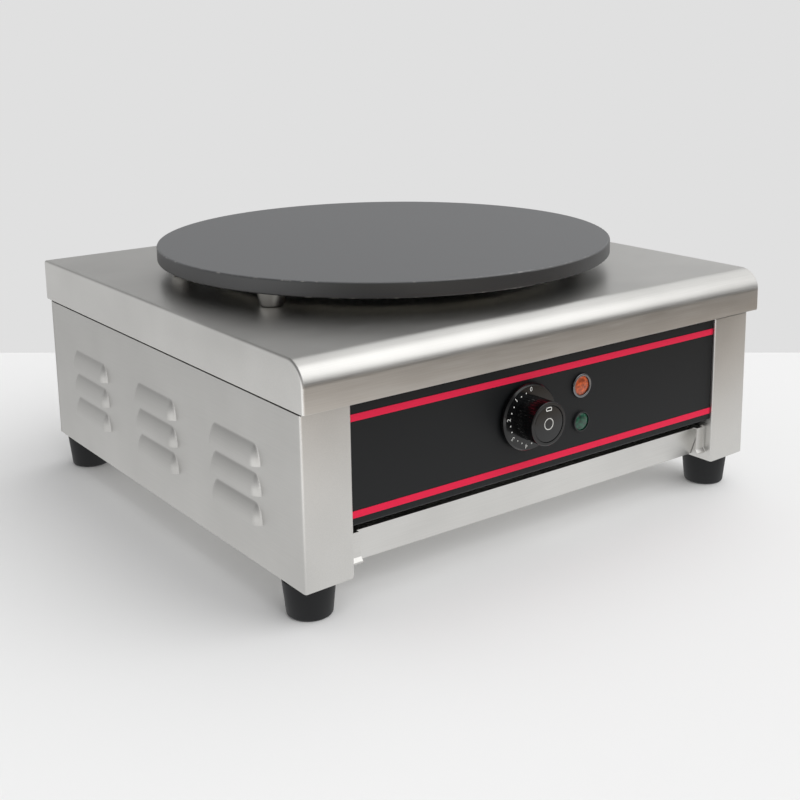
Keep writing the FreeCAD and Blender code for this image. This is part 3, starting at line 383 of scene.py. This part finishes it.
def rounded(corners, closed=False, steps=5):
    """A path through corners (u, v, radius), each rounded by an arc of its own radius.

    The arc about the centre c = corner + (a + b) r / (|a + b| sin(half)) touches both
    sides; its points are c + r (cos t, sin t) between the two touching points, where a
    and b point along the sides and half is half the angle between them."""
    path = []
    count = len(corners)
    for index, (u, v, radius) in enumerate(corners):
        corner = np.array([u, v])
        at_end = index in (0, count - 1) and not closed
        if radius <= 0 or at_end:
            path.append(corner[None])
            continue
        a = np.array(corners[index - 1][:2]) - corner
        b = np.array(corners[(index + 1) % count][:2]) - corner
        a = a / np.linalg.norm(a)
        b = b / np.linalg.norm(b)
        half = math.acos(np.clip(a @ b, -1, 1)) / 2
        centre = corner + (a + b) / np.linalg.norm(a + b) * radius / math.sin(half)
        first = corner + a * radius / math.tan(half) - centre
        last = corner + b * radius / math.tan(half) - centre
        begin = math.atan2(first[1], first[0])
        swing = math.atan2(last[1], last[0]) - begin
        swing = (swing + math.pi) % (2 * math.pi) - math.pi
        t = begin + swing * np.linspace(0, 1, steps + 1)
        path.append(centre + radius * np.stack([np.cos(t), np.sin(t)], axis=1))
    return np.concatenate(path)


def turned(name, outline, centre, along, material, body, ring=True, steps=64):
    """A piece turned about an axis: outline rows are (distance along, radius), in mm.

    With s and c the sine and cosine of an angle, a row becomes a circle of its radius at
    its distance along the axis. A ring closes on itself; otherwise both ends get a cap."""
    rows = np.asarray(outline) * MM
    angle = 2 * math.pi * np.arange(steps) / steps
    c = rows[:, 1:2] * np.cos(angle)
    s = rows[:, 1:2] * np.sin(angle)
    reach = np.repeat(rows[:, :1], steps, axis=1)
    if along == "z":
        points = np.stack([centre[0] + c, centre[1] + s, centre[2] + reach], axis=2)
    else:
        points = np.stack([centre[0] + c, centre[1] - reach, centre[2] + s], axis=2)
    count = len(rows)
    last = count if ring else count - 1
    j, i = np.meshgrid(np.arange(last), np.arange(steps), indexing="ij")
    up = (j + 1) % count
    right = (i + 1) % steps
    quads = np.stack([j * steps + i, j * steps + right, up * steps + right, up * steps + i],
                     axis=2)
    faces = quads.reshape(-1, 4).tolist()
    if not ring:
        faces.append(list(range(steps)))
        faces.append(list(range((count - 1) * steps, count * steps)))
    return mesh_piece(name, points.reshape(-1, 3), faces, material, body)


def middle_of(node):
    """The middle of a CAD node's box, and its lowest and highest corners."""
    low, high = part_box(node)
    return (low + high) / 2, low, high


def rubber_feet(materials):
    """Tapered rubber feet with a screw well below, widest at the top."""
    for corner in CORNERS:
        middle, low, high = middle_of("foot_" + corner)
        top = (high.z - low.z) / MM - 0.2
        outline = rounded([
            (WELL_DEPTH, SCREW_HOLE, 0), (WELL_DEPTH, SCREW_WELL, 0), (0, SCREW_WELL, 0.6),
            (0, FOOT_SOLE, 2.2), (top, FOOT_TOP, 0.8), (top, SCREW_HOLE, 0)], closed=True)
        piece = turned("rubber_foot_" + corner, outline, (middle.x, middle.y, low.z), "z",
                       materials["rubber_black"], "housing")
        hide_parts("foot_" + corner)


def turned_spacers(materials):
    """Spacers that widen towards the griddle, with a rounded foot on the cover."""
    for corner in CORNERS:
        middle, low, high = middle_of("spacer_" + corner)
        tall = (high.z - low.z) / MM
        outline = rounded([(0, SPACER_BORE, 0), (0, SPACER_FOOT, 1.6), (tall, SPACER_HEAD, 0.4),
                           (tall, SPACER_BORE, 0)], closed=True)
        piece = turned("turned_spacer_" + corner, outline, (middle.x, middle.y, low.z), "z",
                       materials["turned_steel"], "housing")
        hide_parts("spacer_" + corner)


def dial(materials):
    """The dial skirt: a thin plate with a bevelled rim and a hollow back."""
    middle, low, high = middle_of("dial_skirt")
    deep = (high.y - low.y) / MM
    radius = (high.x - low.x) / 2 / MM - 1.0
    outline = rounded([(0, radius, 0.3), (deep - 1.5, radius, 0.5), (deep, radius - 1.3, 0.4),
                       (deep, 8, 0), (deep - 1.4, 8, 0), (deep - 1.4, radius - 3.0, 0),
                       (0, radius - 1.6, 0)], closed=True)
    piece = turned("bevelled_dial", outline, (middle.x, high.y, middle.z), "y",
                   materials["knob_black"], "knob", steps=96)
    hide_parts("dial_skirt")


def knob_face(materials):
    """The knob's face: a low disc with a rounded, polished rim."""
    middle, low, high = middle_of("knob_cap")
    deep = (high.y - low.y) / MM
    radius = (high.x - low.x) / 2 / MM
    rim = min(1.2, deep * 0.9)
    outline = rounded([(0, radius, 0), (deep, radius, rim), (deep, 0.3, 0)], steps=8)
    piece = turned("polished_knob_face", outline, (middle.x, high.y, middle.z), "y",
                   materials["knob_cap_grey"], "knob", ring=False, steps=96)
    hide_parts("knob_cap")


def lamp(materials, colour, bezel_radius, lens_radius, bezel_slot, lens_reach):
    """A pilot lamp: a rolled bezel ring round a low dome of tinted plastic.

    The dome's height at t of its radius is reach sqrt(1 - (0.93 t)^2)."""
    middle, _, high = middle_of(colour + "_lamp_bezel")
    place = (middle.x, high.y, middle.z)
    hole = lens_radius + 0.1
    outline = rounded([(0, hole, 0), (BEZEL_DEPTH, hole, 0.5),
                       (BEZEL_DEPTH, bezel_radius - 0.2, 0.8), (0, bezel_radius, 0)], closed=True)
    ring = turned(colour + "_bezel_ring", outline, place, "y", materials[bezel_slot], "housing")
    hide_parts(colour + "_lamp_bezel")
    t = np.linspace(1, 0, 8)
    dome = np.stack([lens_reach * np.sqrt(1 - (0.93 * t) ** 2), lens_radius * t], axis=1)
    dome[-1, 1] = 0.3
    outline = np.concatenate([[[0.05, lens_radius]], dome])
    lens = turned(colour + "_lens_dome", outline, place, "y", materials["lens_" + colour],
                  "housing", ring=False)
    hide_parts(colour + "_lamp_lens")


def sheet_thickness(piece, thickness_mm, bevel_mm):
    """Gives a skin its sheet thickness inwards and softens the cut edges."""
    shell = piece.modifiers.new("sheet", "SOLIDIFY")
    shell.thickness = thickness_mm * MM
    shell.offset = -1.0
    shell.use_even_offset = True
    soft = piece.modifiers.new("cut_edges", "BEVEL")
    soft.width = bevel_mm * MM
    soft.segments = 2
    soft.limit_method = "ANGLE"
    soft.angle_limit = math.radians(60)
    soft.harden_normals = True


def face_upwards(mesh):
    """Turns a skin over if most of its area faces down."""
    area = np.zeros(len(mesh.polygons))
    mesh.polygons.foreach_get("area", area)
    normal = np.zeros(len(mesh.polygons) * 3)
    mesh.polygons.foreach_get("normal", normal)
    if area @ normal.reshape(-1, 3)[:, 2] < 0:
        mesh.flip_normals()


def rolled_cover(materials):
    """The cover: a pan with a large roll along the front and small bends elsewhere.

    The profile P(u) runs up the front, over the roll, along the top and down the rear. At
    both sides the skin turns down by a small bend: with the angle f from 0 to 90 degrees,
    x = side - r + r sin f, and the point is P(u) - r (1 - cos f) N(u), N the outward normal."""
    low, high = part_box("top_cover")
    front, rear = low.y / MM, high.y / MM
    seam, top = low.z / MM, high.z / MM
    side = high.x / MM
    profile = rounded([(front, seam, 0), (front, top, COVER_ROLL), (rear, top, COVER_BEND),
                       (rear, seam, 0)], steps=14)
    step = np.gradient(profile, axis=0)
    normal = np.stack([-step[:, 1], step[:, 0]], axis=1)
    normal /= np.linalg.norm(normal, axis=1)[:, None]
    normal[0] = (-1, 0)
    normal[-1] = (1, 0)
    f = np.linspace(0, math.pi / 2, 6)
    x = side - COVER_BEND + COVER_BEND * np.sin(f)
    inset = COVER_BEND * (1 - np.cos(f))
    x = np.concatenate([-x[::-1], x])
    inset = np.concatenate([inset[::-1], inset])
    spots = profile[None] - inset[:, None, None] * normal[None]
    points = np.stack([np.repeat(x[:, None], len(profile), axis=1), spots[..., 0], spots[..., 1]],
                      axis=2)
    # The lower right corner of the front flange is rounded.
    past = np.clip(points[:, 0, 0] - (side - COVER_CORNER), 0, COVER_CORNER)
    points[:, 0, 2] = seam + COVER_CORNER - np.sqrt(COVER_CORNER ** 2 - past ** 2)
    rows, columns = points.shape[:2]
    here, after = grid_numbers(np.arange(rows - 1), np.arange(columns - 1), columns)
    faces = np.stack([here, after, after + 1, here + 1], axis=2).reshape(-1, 4).tolist()
    # The flat side flanges close the pan below the bends. The right one has a point more,
    # 9 mm from the front, beside the rounded corner.
    last = (rows - 1) * columns
    extra = rows * columns
    points = np.concatenate([points.reshape(-1, 3), [[side, front + 9, seam]]])
    faces.append(list(range(columns)))
    faces.append([extra, last] + list(range(last + 1, last + columns)))
    piece = mesh_piece("rolled_cover", points * MM, faces, materials["stainless"], "housing",
                       closed=False)
    face_upwards(piece.data)
    sheet_thickness(piece, COVER_SHEET, bevel_mm=0.45)
    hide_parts("top_cover")


def hood_height(y, z):
    """Height of the louvres over the wall, in mm.

    Each hood is part of a ball of radius R that stands d out of the wall, drawn out along
    its length: with z the height over its lip and q the distance past the straight part,
    squeezed by height / end, it is sqrt(R^2 - z^2 - q^2) - (R - d), rounded off at zero."""
    ball = (LOUVRE_DEPTH ** 2 + LOUVRE_HEIGHT ** 2) / (2 * LOUVRE_DEPTH)
    straight = LOUVRE_LENGTH / 2 - LOUVRE_END
    squeeze = LOUVRE_HEIGHT / LOUVRE_END
    soft = 0.12
    total = np.zeros(np.broadcast(y, z).shape)
    for middle in LOUVRE_MIDDLES:
        for lip in LOUVRE_LEVELS:
            past = np.clip(np.abs(y - middle) - straight, 0, None) * squeeze
            over = z - lip
            height = np.sqrt(np.clip(ball ** 2 - over ** 2 - past ** 2, 0, None))
            height = height - (ball - LOUVRE_DEPTH)
            height = (height + np.sqrt(height ** 2 + soft ** 2)) / 2
            inside = (over >= -1e-6) & (over <= LOUVRE_HEIGHT + LOUVRE_MARGIN)
            inside = inside & (past <= LOUVRE_HEIGHT * 1.15)
            total = np.maximum(total, np.where(inside, height, 0))
    return total


def side_plan(rear, front):
    """The side seen from above, with columns closest together across the louvres."""
    plan = rounded([(-SIDE_FACE + REAR_LIP, rear, 0), (-SIDE_FACE, rear, SIDE_BEND),
                    (-SIDE_FACE, front, SIDE_BEND), (-SIDE_FACE + COLUMN_WIDTH, front, SIDE_BEND),
                    (-SIDE_FACE + COLUMN_WIDTH, front + COLUMN_RETURN, 0)])
    reach = LOUVRE_LENGTH / 2 + 1.0
    across = [np.linspace(m - reach, m + reach, 101) for m in LOUVRE_MIDDLES]
    ends = [rear - SIDE_BEND - 8, front + SIDE_BEND + 8]
    wall = np.unique(np.round(np.concatenate([*across, ends]), 3))
    wall = np.stack([np.full(len(wall), -SIDE_FACE), wall[::-1]], axis=1)
    split = int(np.argmax(plan[:, 1] < 0))
    return np.concatenate([plan[:split], wall, plan[split:]])


def corner_lift(plan, rear, front, side):
    """How far the lower edge rises at the sheet's rounded lower corners, in mm.

    At the distance g from a corner of radius r the rise is r - sqrt(r^2 - (r - g)^2)."""
    on_wall = plan[:, 0] < -SIDE_FACE + 1e-6
    # Past 100 mm lie only the rear end of the wall and its lip.
    at_rear = plan[:, 1] > 100
    from_return = np.abs(plan[:, 0] + SIDE_FACE - COLUMN_WIDTH)
    if side < 0:
        # The left column is rounded at its inner lower corner.
        radius = LEFT_CORNER
        on_return = np.where(from_return < 1e-6, 0, radius)
        gap = np.where(plan[:, 1] > front + SIDE_BEND, on_return, from_return)
    else:
        # The right column is rounded at its outer lower corner.
        radius = RIGHT_CORNER
        gap = np.where(on_wall, plan[:, 1] - front, plan[:, 0] + SIDE_FACE)
        gap = np.where(at_rear, radius, gap)
    lift = radius - np.sqrt(radius ** 2 - (radius - np.clip(gap, 0, radius)) ** 2)
    rear_gap = np.clip(np.where(on_wall, rear - plan[:, 1], 0), 0, REAR_CORNER)
    rear_lift = REAR_CORNER - np.sqrt(REAR_CORNER ** 2 - (REAR_CORNER - rear_gap) ** 2)
    return np.maximum(lift, np.where(at_rear, rear_lift, 0))


def louvred_side(materials, name, side):
    """A folded side: rear lip, wall with nine louvres, front column and its return.

    The plan gives each column of the grid its place and outward direction, and each row
    its level; a point stands out from the plan by the louvres' height. Where a louvre's
    lip lies, two rows share a level, one on the wall and one on the hood, with no faces
    between them: that is the opening."""
    low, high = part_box(name + "_side_panel")
    rear, front = high.y / MM, low.y / MM
    bottom, top = low.z / MM, high.z / MM
    plan = side_plan(rear, front)
    step = np.gradient(plan, axis=0)
    outward = np.stack([step[:, 1], -step[:, 0]], axis=1)
    outward /= np.linalg.norm(outward, axis=1)[:, None]
    # Rows are (level, kind): 0 on the wall, -1 on the wall under a lip, 1 on a hood.
    rows = [(bottom, 0), (bottom + CORNER_ZONE / 2, 0), (bottom + CORNER_ZONE, 0)]
    for level in LOUVRE_LEVELS:
        rows.append((level, -1))
        rows.extend((level + h, 1) for h in np.linspace(0, LOUVRE_HEIGHT + LOUVRE_MARGIN, 26))
    # The last rows lie close together across the joint level, so that the step is crisp.
    rows.extend((level, 0) for level in (140.0, 155.6, 156.0, 156.3, 156.8, 158.0, top))
    z = np.array([level for level, kind in rows])[:, None]
    on_hood = np.array([kind > 0 for level, kind in rows])[:, None]
    on_wall = (np.abs(plan[:, 0] + SIDE_FACE) < 1e-6)[None]
    height = hood_height(plan[None, :, 1], z) * on_hood * on_wall
    # Above the joint level the sheet steps in, which leaves a dark line under the cover.
    height = height - JOINT_DEPTH * np.clip((z - JOINT_LEVEL) / JOINT_HEIGHT, 0, 1)
    fade = np.clip((bottom + CORNER_ZONE - z) / CORNER_ZONE, 0, 1)
    points = np.stack([plan[None, :, 0] + outward[None, :, 0] * height,
                       plan[None, :, 1] + outward[None, :, 1] * height,
                       z + corner_lift(plan, rear, front, side)[None] * fade], axis=2)
    count = len(plan)
    joined = np.array([n for n in range(len(rows) - 1) if rows[n][1] >= 0])
    here, after = grid_numbers(joined, np.arange(count - 1), count)
    faces = np.stack([here, here + 1, after + 1, after], axis=2).reshape(-1, 4).tolist()
    base = len(rows) * count
    inner = -SIDE_FACE + COLUMN_WIDTH
    flange = np.array([
        [-SIDE_FACE + 0.5, front + 2, bottom], [inner - 1.2, front + 2, bottom],
        [inner - 1.2, front + COLUMN_RETURN, bottom], [inner, front + COLUMN_RETURN, bottom],
        [inner, rear - 2, bottom], [-SIDE_FACE + 0.5, rear - 2, bottom]])
    points = np.concatenate([points.reshape(-1, 3), flange])
    faces.append(list(range(base, base + 6))[::-1])
    points[:, 0] *= -side
    if side > 0:
        faces = [face[::-1] for face in faces]
    piece = mesh_piece(name + "_louvred_side", points * MM, faces, materials["side_stainless"],
                       "housing", closed=False, crease=40)
    sheet_thickness(piece, SIDE_SHEET, bevel_mm=0.25)
    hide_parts(name + "_side_panel")


def printed_bands(name, bands, face_y, material):
    """Flat bands round the knob's axis, a print's thickness before a face.

    A band is (inner, outer, start, sweep) in mm and degrees. A point is at radius r and
    angle a from the top: x = r sin a, z = r cos a; two faces and the walls close it."""
    points = []
    faces = []
    base = 0
    for inner, outer, start, sweep in bands:
        steps = max(2, int(abs(sweep) / 5))
        count = steps + 1
        angle = np.radians(start + sweep * np.arange(count) / steps)
        for radius, depth in ((inner, 0.0), (outer, 0.0), (outer, PRINT), (inner, PRINT)):
            points.append(np.stack([
                KNOB_X + radius * MM * np.sin(angle),
                np.full_like(angle, face_y - PRINT + depth),
                KNOB_Z + radius * MM * np.cos(angle)], axis=1))
        i = np.arange(steps)
        for row in range(4):
            here = base + row * count + i
            after = base + (row + 1) % 4 * count + i
            faces.extend(np.stack([here, here + 1, after + 1, after], axis=1).tolist())
        rows = base + count * np.arange(4)
        faces.append(rows[::-1].tolist())
        faces.append((rows + steps).tolist())
        base += 4 * count
    return mesh_piece(name, np.concatenate(points), faces, material, "knob")


def number_mesh(text):
    """A number as a thin flat mesh about its own middle."""
    curve = bpy.data.curves.new("number", "FONT")
    curve.body = text
    curve.size = NUMBER_HEIGHT * MM
    curve.align_x = "CENTER"
    curve.align_y = "CENTER"
    curve.extrude = PRINT / 2
    curve.resolution_u = 3
    holder = bpy.data.objects.new("number", curve)
    bpy.context.scene.collection.objects.link(holder)
    bpy.context.view_layer.update()
    mesh = bpy.data.meshes.new_from_object(
        holder.evaluated_get(bpy.context.evaluated_depsgraph_get()))
    bpy.data.objects.remove(holder)
    bpy.data.curves.remove(curve)
    return mesh


def printed_numbers(material):
    """Plain numbers round the dial, each turned so that its head points outwards.

    A point (a, b) of a number at the angle t becomes x = a cos t + (b + r) sin t and
    z = -a sin t + (b + r) cos t about the knob's axis."""
    points = []
    faces = []
    base = 0
    for index in range(NUMBER_COUNT):
        turn = -math.radians(NUMBER_STEP) * index
        mesh = number_mesh(str(index))
        flat = np.zeros(len(mesh.vertices) * 3)
        mesh.vertices.foreach_get("co", flat)
        flat = flat.reshape(-1, 3)
        across = flat[:, 0]
        up = flat[:, 1] + NUMBER_RADIUS * MM
        points.append(np.stack([
            KNOB_X + across * math.cos(turn) + up * math.sin(turn),
            skirt_low.y - PRINT / 2 - flat[:, 2],
            KNOB_Z - across * math.sin(turn) + up * math.cos(turn)], axis=1))
        corners = np.zeros(len(mesh.loops), dtype=np.int32)
        mesh.loops.foreach_get("vertex_index", corners)
        starts = np.zeros(len(mesh.polygons), dtype=np.int32)
        mesh.polygons.foreach_get("loop_start", starts)
        faces.extend(face.tolist() for face in np.split(corners + base, starts[1:]))
        base += len(flat)
        bpy.data.meshes.remove(mesh)
    return mesh_piece("dial_numbers", np.concatenate(points), faces, material, "knob")


def dress_knob():
    """White printing on the dial, a pointer mark and a plain ring on the knob's face."""
    # Pad-printed ink: flat and even.
    white = plain("white_pad_print", PRINT_WHITE, 0.0, 0.5)
    pale = plain("bright_ring_print", RING_METAL, 0.0, 0.35)
    printed_numbers(white)
    dots = [(20.2, 21.2, -NUMBER_STEP * k - NUMBER_STEP / 3 * n - 1.4, 2.8)
            for k in range(NUMBER_COUNT - 1) for n in (1, 2)]
    printed_bands("dial_dots", dots, skirt_low.y, white)
    pointer = [(12.6, 13.2, -14, 28), (10.2, 10.8, -12, 24), (10.2, 13.2, -14, 3),
               (10.2, 13.2, 11, 3)]
    printed_bands("pointer_mark", pointer, cap_low.y, white)
    printed_bands("centre_ring", [(3.9, 4.6, 0, 360)], cap_low.y, pale)


def lay_floor():
    """A pale matt floor that takes the wall's tone beyond a line behind the object.

    Bright metal sees it without the object's own shadow: full tone near the object, less
    towards the back, and a warm shade towards the front right, where the room is dark."""
    r = FLOOR_REACH
    mesh = bpy.data.meshes.new("floor")
    mesh.from_pydata([(-r, -r, 0), (r, -r, 0), (r, r, 0), (-r, r, 0)], [], [[0, 1, 2, 3]])
    floor = bpy.data.objects.new("floor", mesh)
    bpy.context.scene.collection.objects.link(floor)
    material, tree, shader = surface("matt_pale_floor", FLOOR, 0.0, 0.8)
    shader.inputs["Specular IOR Level"].default_value = 0.2
    axes = place_axes(tree)
    x = axes["X"]
    y = axes["Y"]
    slope_x = add_node(tree, "ShaderNodeMath", {0: x, 1: BACK_SLOPE[0]}, operation="MULTIPLY")
    slope_y = add_node(tree, "ShaderNodeMath", {0: y, 1: BACK_SLOPE[1]}, operation="MULTIPLY")
    behind = add_node(tree, "ShaderNodeMath", {0: slope_x, 1: slope_y}, operation="ADD")
    beyond = add_node(tree, "ShaderNodeMapRange", {
        "Value": behind, "From Min": BACK_LINE, "From Max": BACK_LINE + 0.003})
    sideways = add_node(tree, "ShaderNodeMath", {0: x, 1: 0.3}, operation="MULTIPLY")
    ahead = add_node(tree, "ShaderNodeMath", {0: sideways, 1: y}, operation="SUBTRACT")
    ramp = add_node(tree, "ShaderNodeValToRGB", {"Fac": ahead})
    stops = ramp.color_ramp.elements
    for index, (position, tone) in enumerate(SEEN_FLOOR):
        stop = stops[index] if index < 2 else stops.new(position)
        stop.position = position
        stop.color = linear(tone)
    tone = add_node(tree, "ShaderNodeMix", {
        "Factor": beyond, 6: ramp.outputs["Color"], 7: linear(WALL)}, data_type="RGBA")
    towards_back = add_node(tree, "ShaderNodeMapRange", {
        "Value": y, "From Min": -0.4, "From Max": 0.75, "To Min": 1.17, "To Max": 0.84})
    # A brighter place at the front left gives the folded corner its thin bright line.
    both = add_node(tree, "ShaderNodeMath", {0: x, 1: y}, operation="ADD")
    front_left = add_node(tree, "ShaderNodeMath", {0: both, 1: -1.0}, operation="MULTIPLY")
    bright = add_node(tree, "ShaderNodeMapRange", {
        "Value": front_left, "From Min": 0.6, "From Max": 0.85, "To Max": 0.8})
    level = add_node(tree, "ShaderNodeMath", {0: towards_back, 1: bright}, operation="ADD")
    strength = add_node(tree, "ShaderNodeMix", {"Factor": beyond, "A": level, "B": 1.0},
                        data_type="FLOAT")
    path = add_node(tree, "ShaderNodeLightPath").outputs
    looked_at = add_node(tree, "ShaderNodeMath", {
        0: path["Is Camera Ray"], 1: path["Is Transmission Ray"]}, operation="MAXIMUM")
    far = add_node(tree, "ShaderNodeMath", {0: looked_at, 1: beyond}, operation="MULTIPLY")
    lit = add_node(tree, "ShaderNodeMath", {0: path["Is Glossy Ray"], 1: far},
                   operation="MAXIMUM")
    glow = add_node(tree, "ShaderNodeEmission", {"Color": tone, "Strength": strength})
    add_node(tree, "ShaderNodeMixShader", {0: lit, 1: shader, 2: glow},
             to=tree.nodes["Material Output"].inputs["Surface"])
    mesh.materials.append(material)


def light_world():
    """The pale surround. Metal sees it dim upwards, and towards the front right.

    Matt surfaces get the room's even light in its place."""
    world = bpy.data.worlds.new("studio")
    bpy.context.scene.world = world
    world.use_nodes = True
    tree = world.node_tree
    tree.nodes.clear()
    place = add_node(tree, "ShaderNodeTexCoord")
    axes = add_node(tree, "ShaderNodeSeparateXYZ",
                    {"Vector": place.outputs["Generated"]}).outputs
    upwards = add_node(tree, "ShaderNodeMapRange", {
        "Value": axes["Z"], "From Min": 0.02, "From Max": 0.6, "To Min": 1.0, "To Max": 0.3})
    right = add_node(tree, "ShaderNodeMath", {0: axes["X"], 1: 0.6}, operation="MULTIPLY")
    back = add_node(tree, "ShaderNodeMath", {0: axes["Y"], 1: 0.8}, operation="MULTIPLY")
    front_right = add_node(tree, "ShaderNodeMath", {0: right, 1: back}, operation="SUBTRACT")
    sideways = add_node(tree, "ShaderNodeMapRange", {
        "Value": front_right, "From Min": 0.4, "From Max": 0.95, "To Min": 1.0, "To Max": 0.15})
    dimmed = add_node(tree, "ShaderNodeMath", {0: upwards, 1: sideways}, operation="MULTIPLY")
    path = add_node(tree, "ShaderNodeLightPath").outputs
    glossy = path["Is Glossy Ray"]
    strength = add_node(tree, "ShaderNodeMix", {"Factor": glossy, "A": 1.0, "B": dimmed},
                        data_type="FLOAT")
    looked_at = add_node(tree, "ShaderNodeMath", {
        0: path["Is Camera Ray"], 1: path["Is Transmission Ray"]}, operation="MAXIMUM")
    seen = add_node(tree, "ShaderNodeMath", {0: looked_at, 1: glossy}, operation="MAXIMUM")
    room = add_node(tree, "ShaderNodeBackground", {"Color": linear(ROOM), "Strength": ROOM_LEVEL})
    backdrop = add_node(tree, "ShaderNodeBackground", {"Color": linear(WALL),
                                                       "Strength": strength})
    mix = add_node(tree, "ShaderNodeMixShader", {0: seen, 1: room, 2: backdrop})
    add_node(tree, "ShaderNodeOutputWorld", {"Surface": mix})


def light_suns():
    """Two broad soft suns, each shining from its direction onto the object."""
    for name, direction, strength, width in SUNS:
        light = bpy.data.lights.new(name, "SUN")
        light.energy = strength
        light.angle = math.radians(width)
        holder = bpy.data.objects.new(name, light)
        bpy.context.scene.collection.objects.link(holder)
        holder.location = direction
        holder.rotation_euler = (-Vector(direction)).to_track_quat("-Z", "Y").to_euler()


def set_camera():
    """The photograph's camera: turned, tilted down, rolled a little and shifted down."""
    camera = bpy.data.cameras.new("camera")
    camera.sensor_width = SENSOR
    camera.lens = FOCAL_PX * SENSOR / IMAGE
    camera.shift_y = (CENTRE_V - IMAGE / 2) / IMAGE
    ahead = Vector((math.sin(YAW) * math.cos(PITCH), math.cos(YAW) * math.cos(PITCH),
                    -math.sin(PITCH)))
    right = Vector((math.cos(YAW), -math.sin(YAW), 0))
    above = right.cross(ahead)
    rolled_right = right * math.cos(ROLL) - above * math.sin(ROLL)
    rolled_up = right * math.sin(ROLL) + above * math.cos(ROLL)
    turn = Matrix((rolled_right, rolled_up, -ahead)).transposed()
    holder = bpy.data.objects.new("camera", camera)
    bpy.context.scene.collection.objects.link(holder)
    holder.matrix_world = Matrix.Translation(CAMERA_PLACE) @ turn.to_4x4()
    bpy.context.scene.camera = holder


materials = make_materials()
paint_nodes(materials)
rubber_feet(materials)
turned_spacers(materials)
dial(materials)
knob_face(materials)
lamp(materials, "amber", bezel_radius=10.0, lens_radius=7.7, bezel_slot="bezel_chrome",
     lens_reach=1.7)
lamp(materials, "green", bezel_radius=8.2, lens_radius=7.4, bezel_slot="black_moulding",
     lens_reach=2.2)
rolled_cover(materials)
louvred_side(materials, "left", side=-1)
louvred_side(materials, "right", side=1)
dress_knob()
lay_floor()
light_world()
light_suns()
set_camera()
bpy.context.scene.view_settings.view_transform = "Standard"
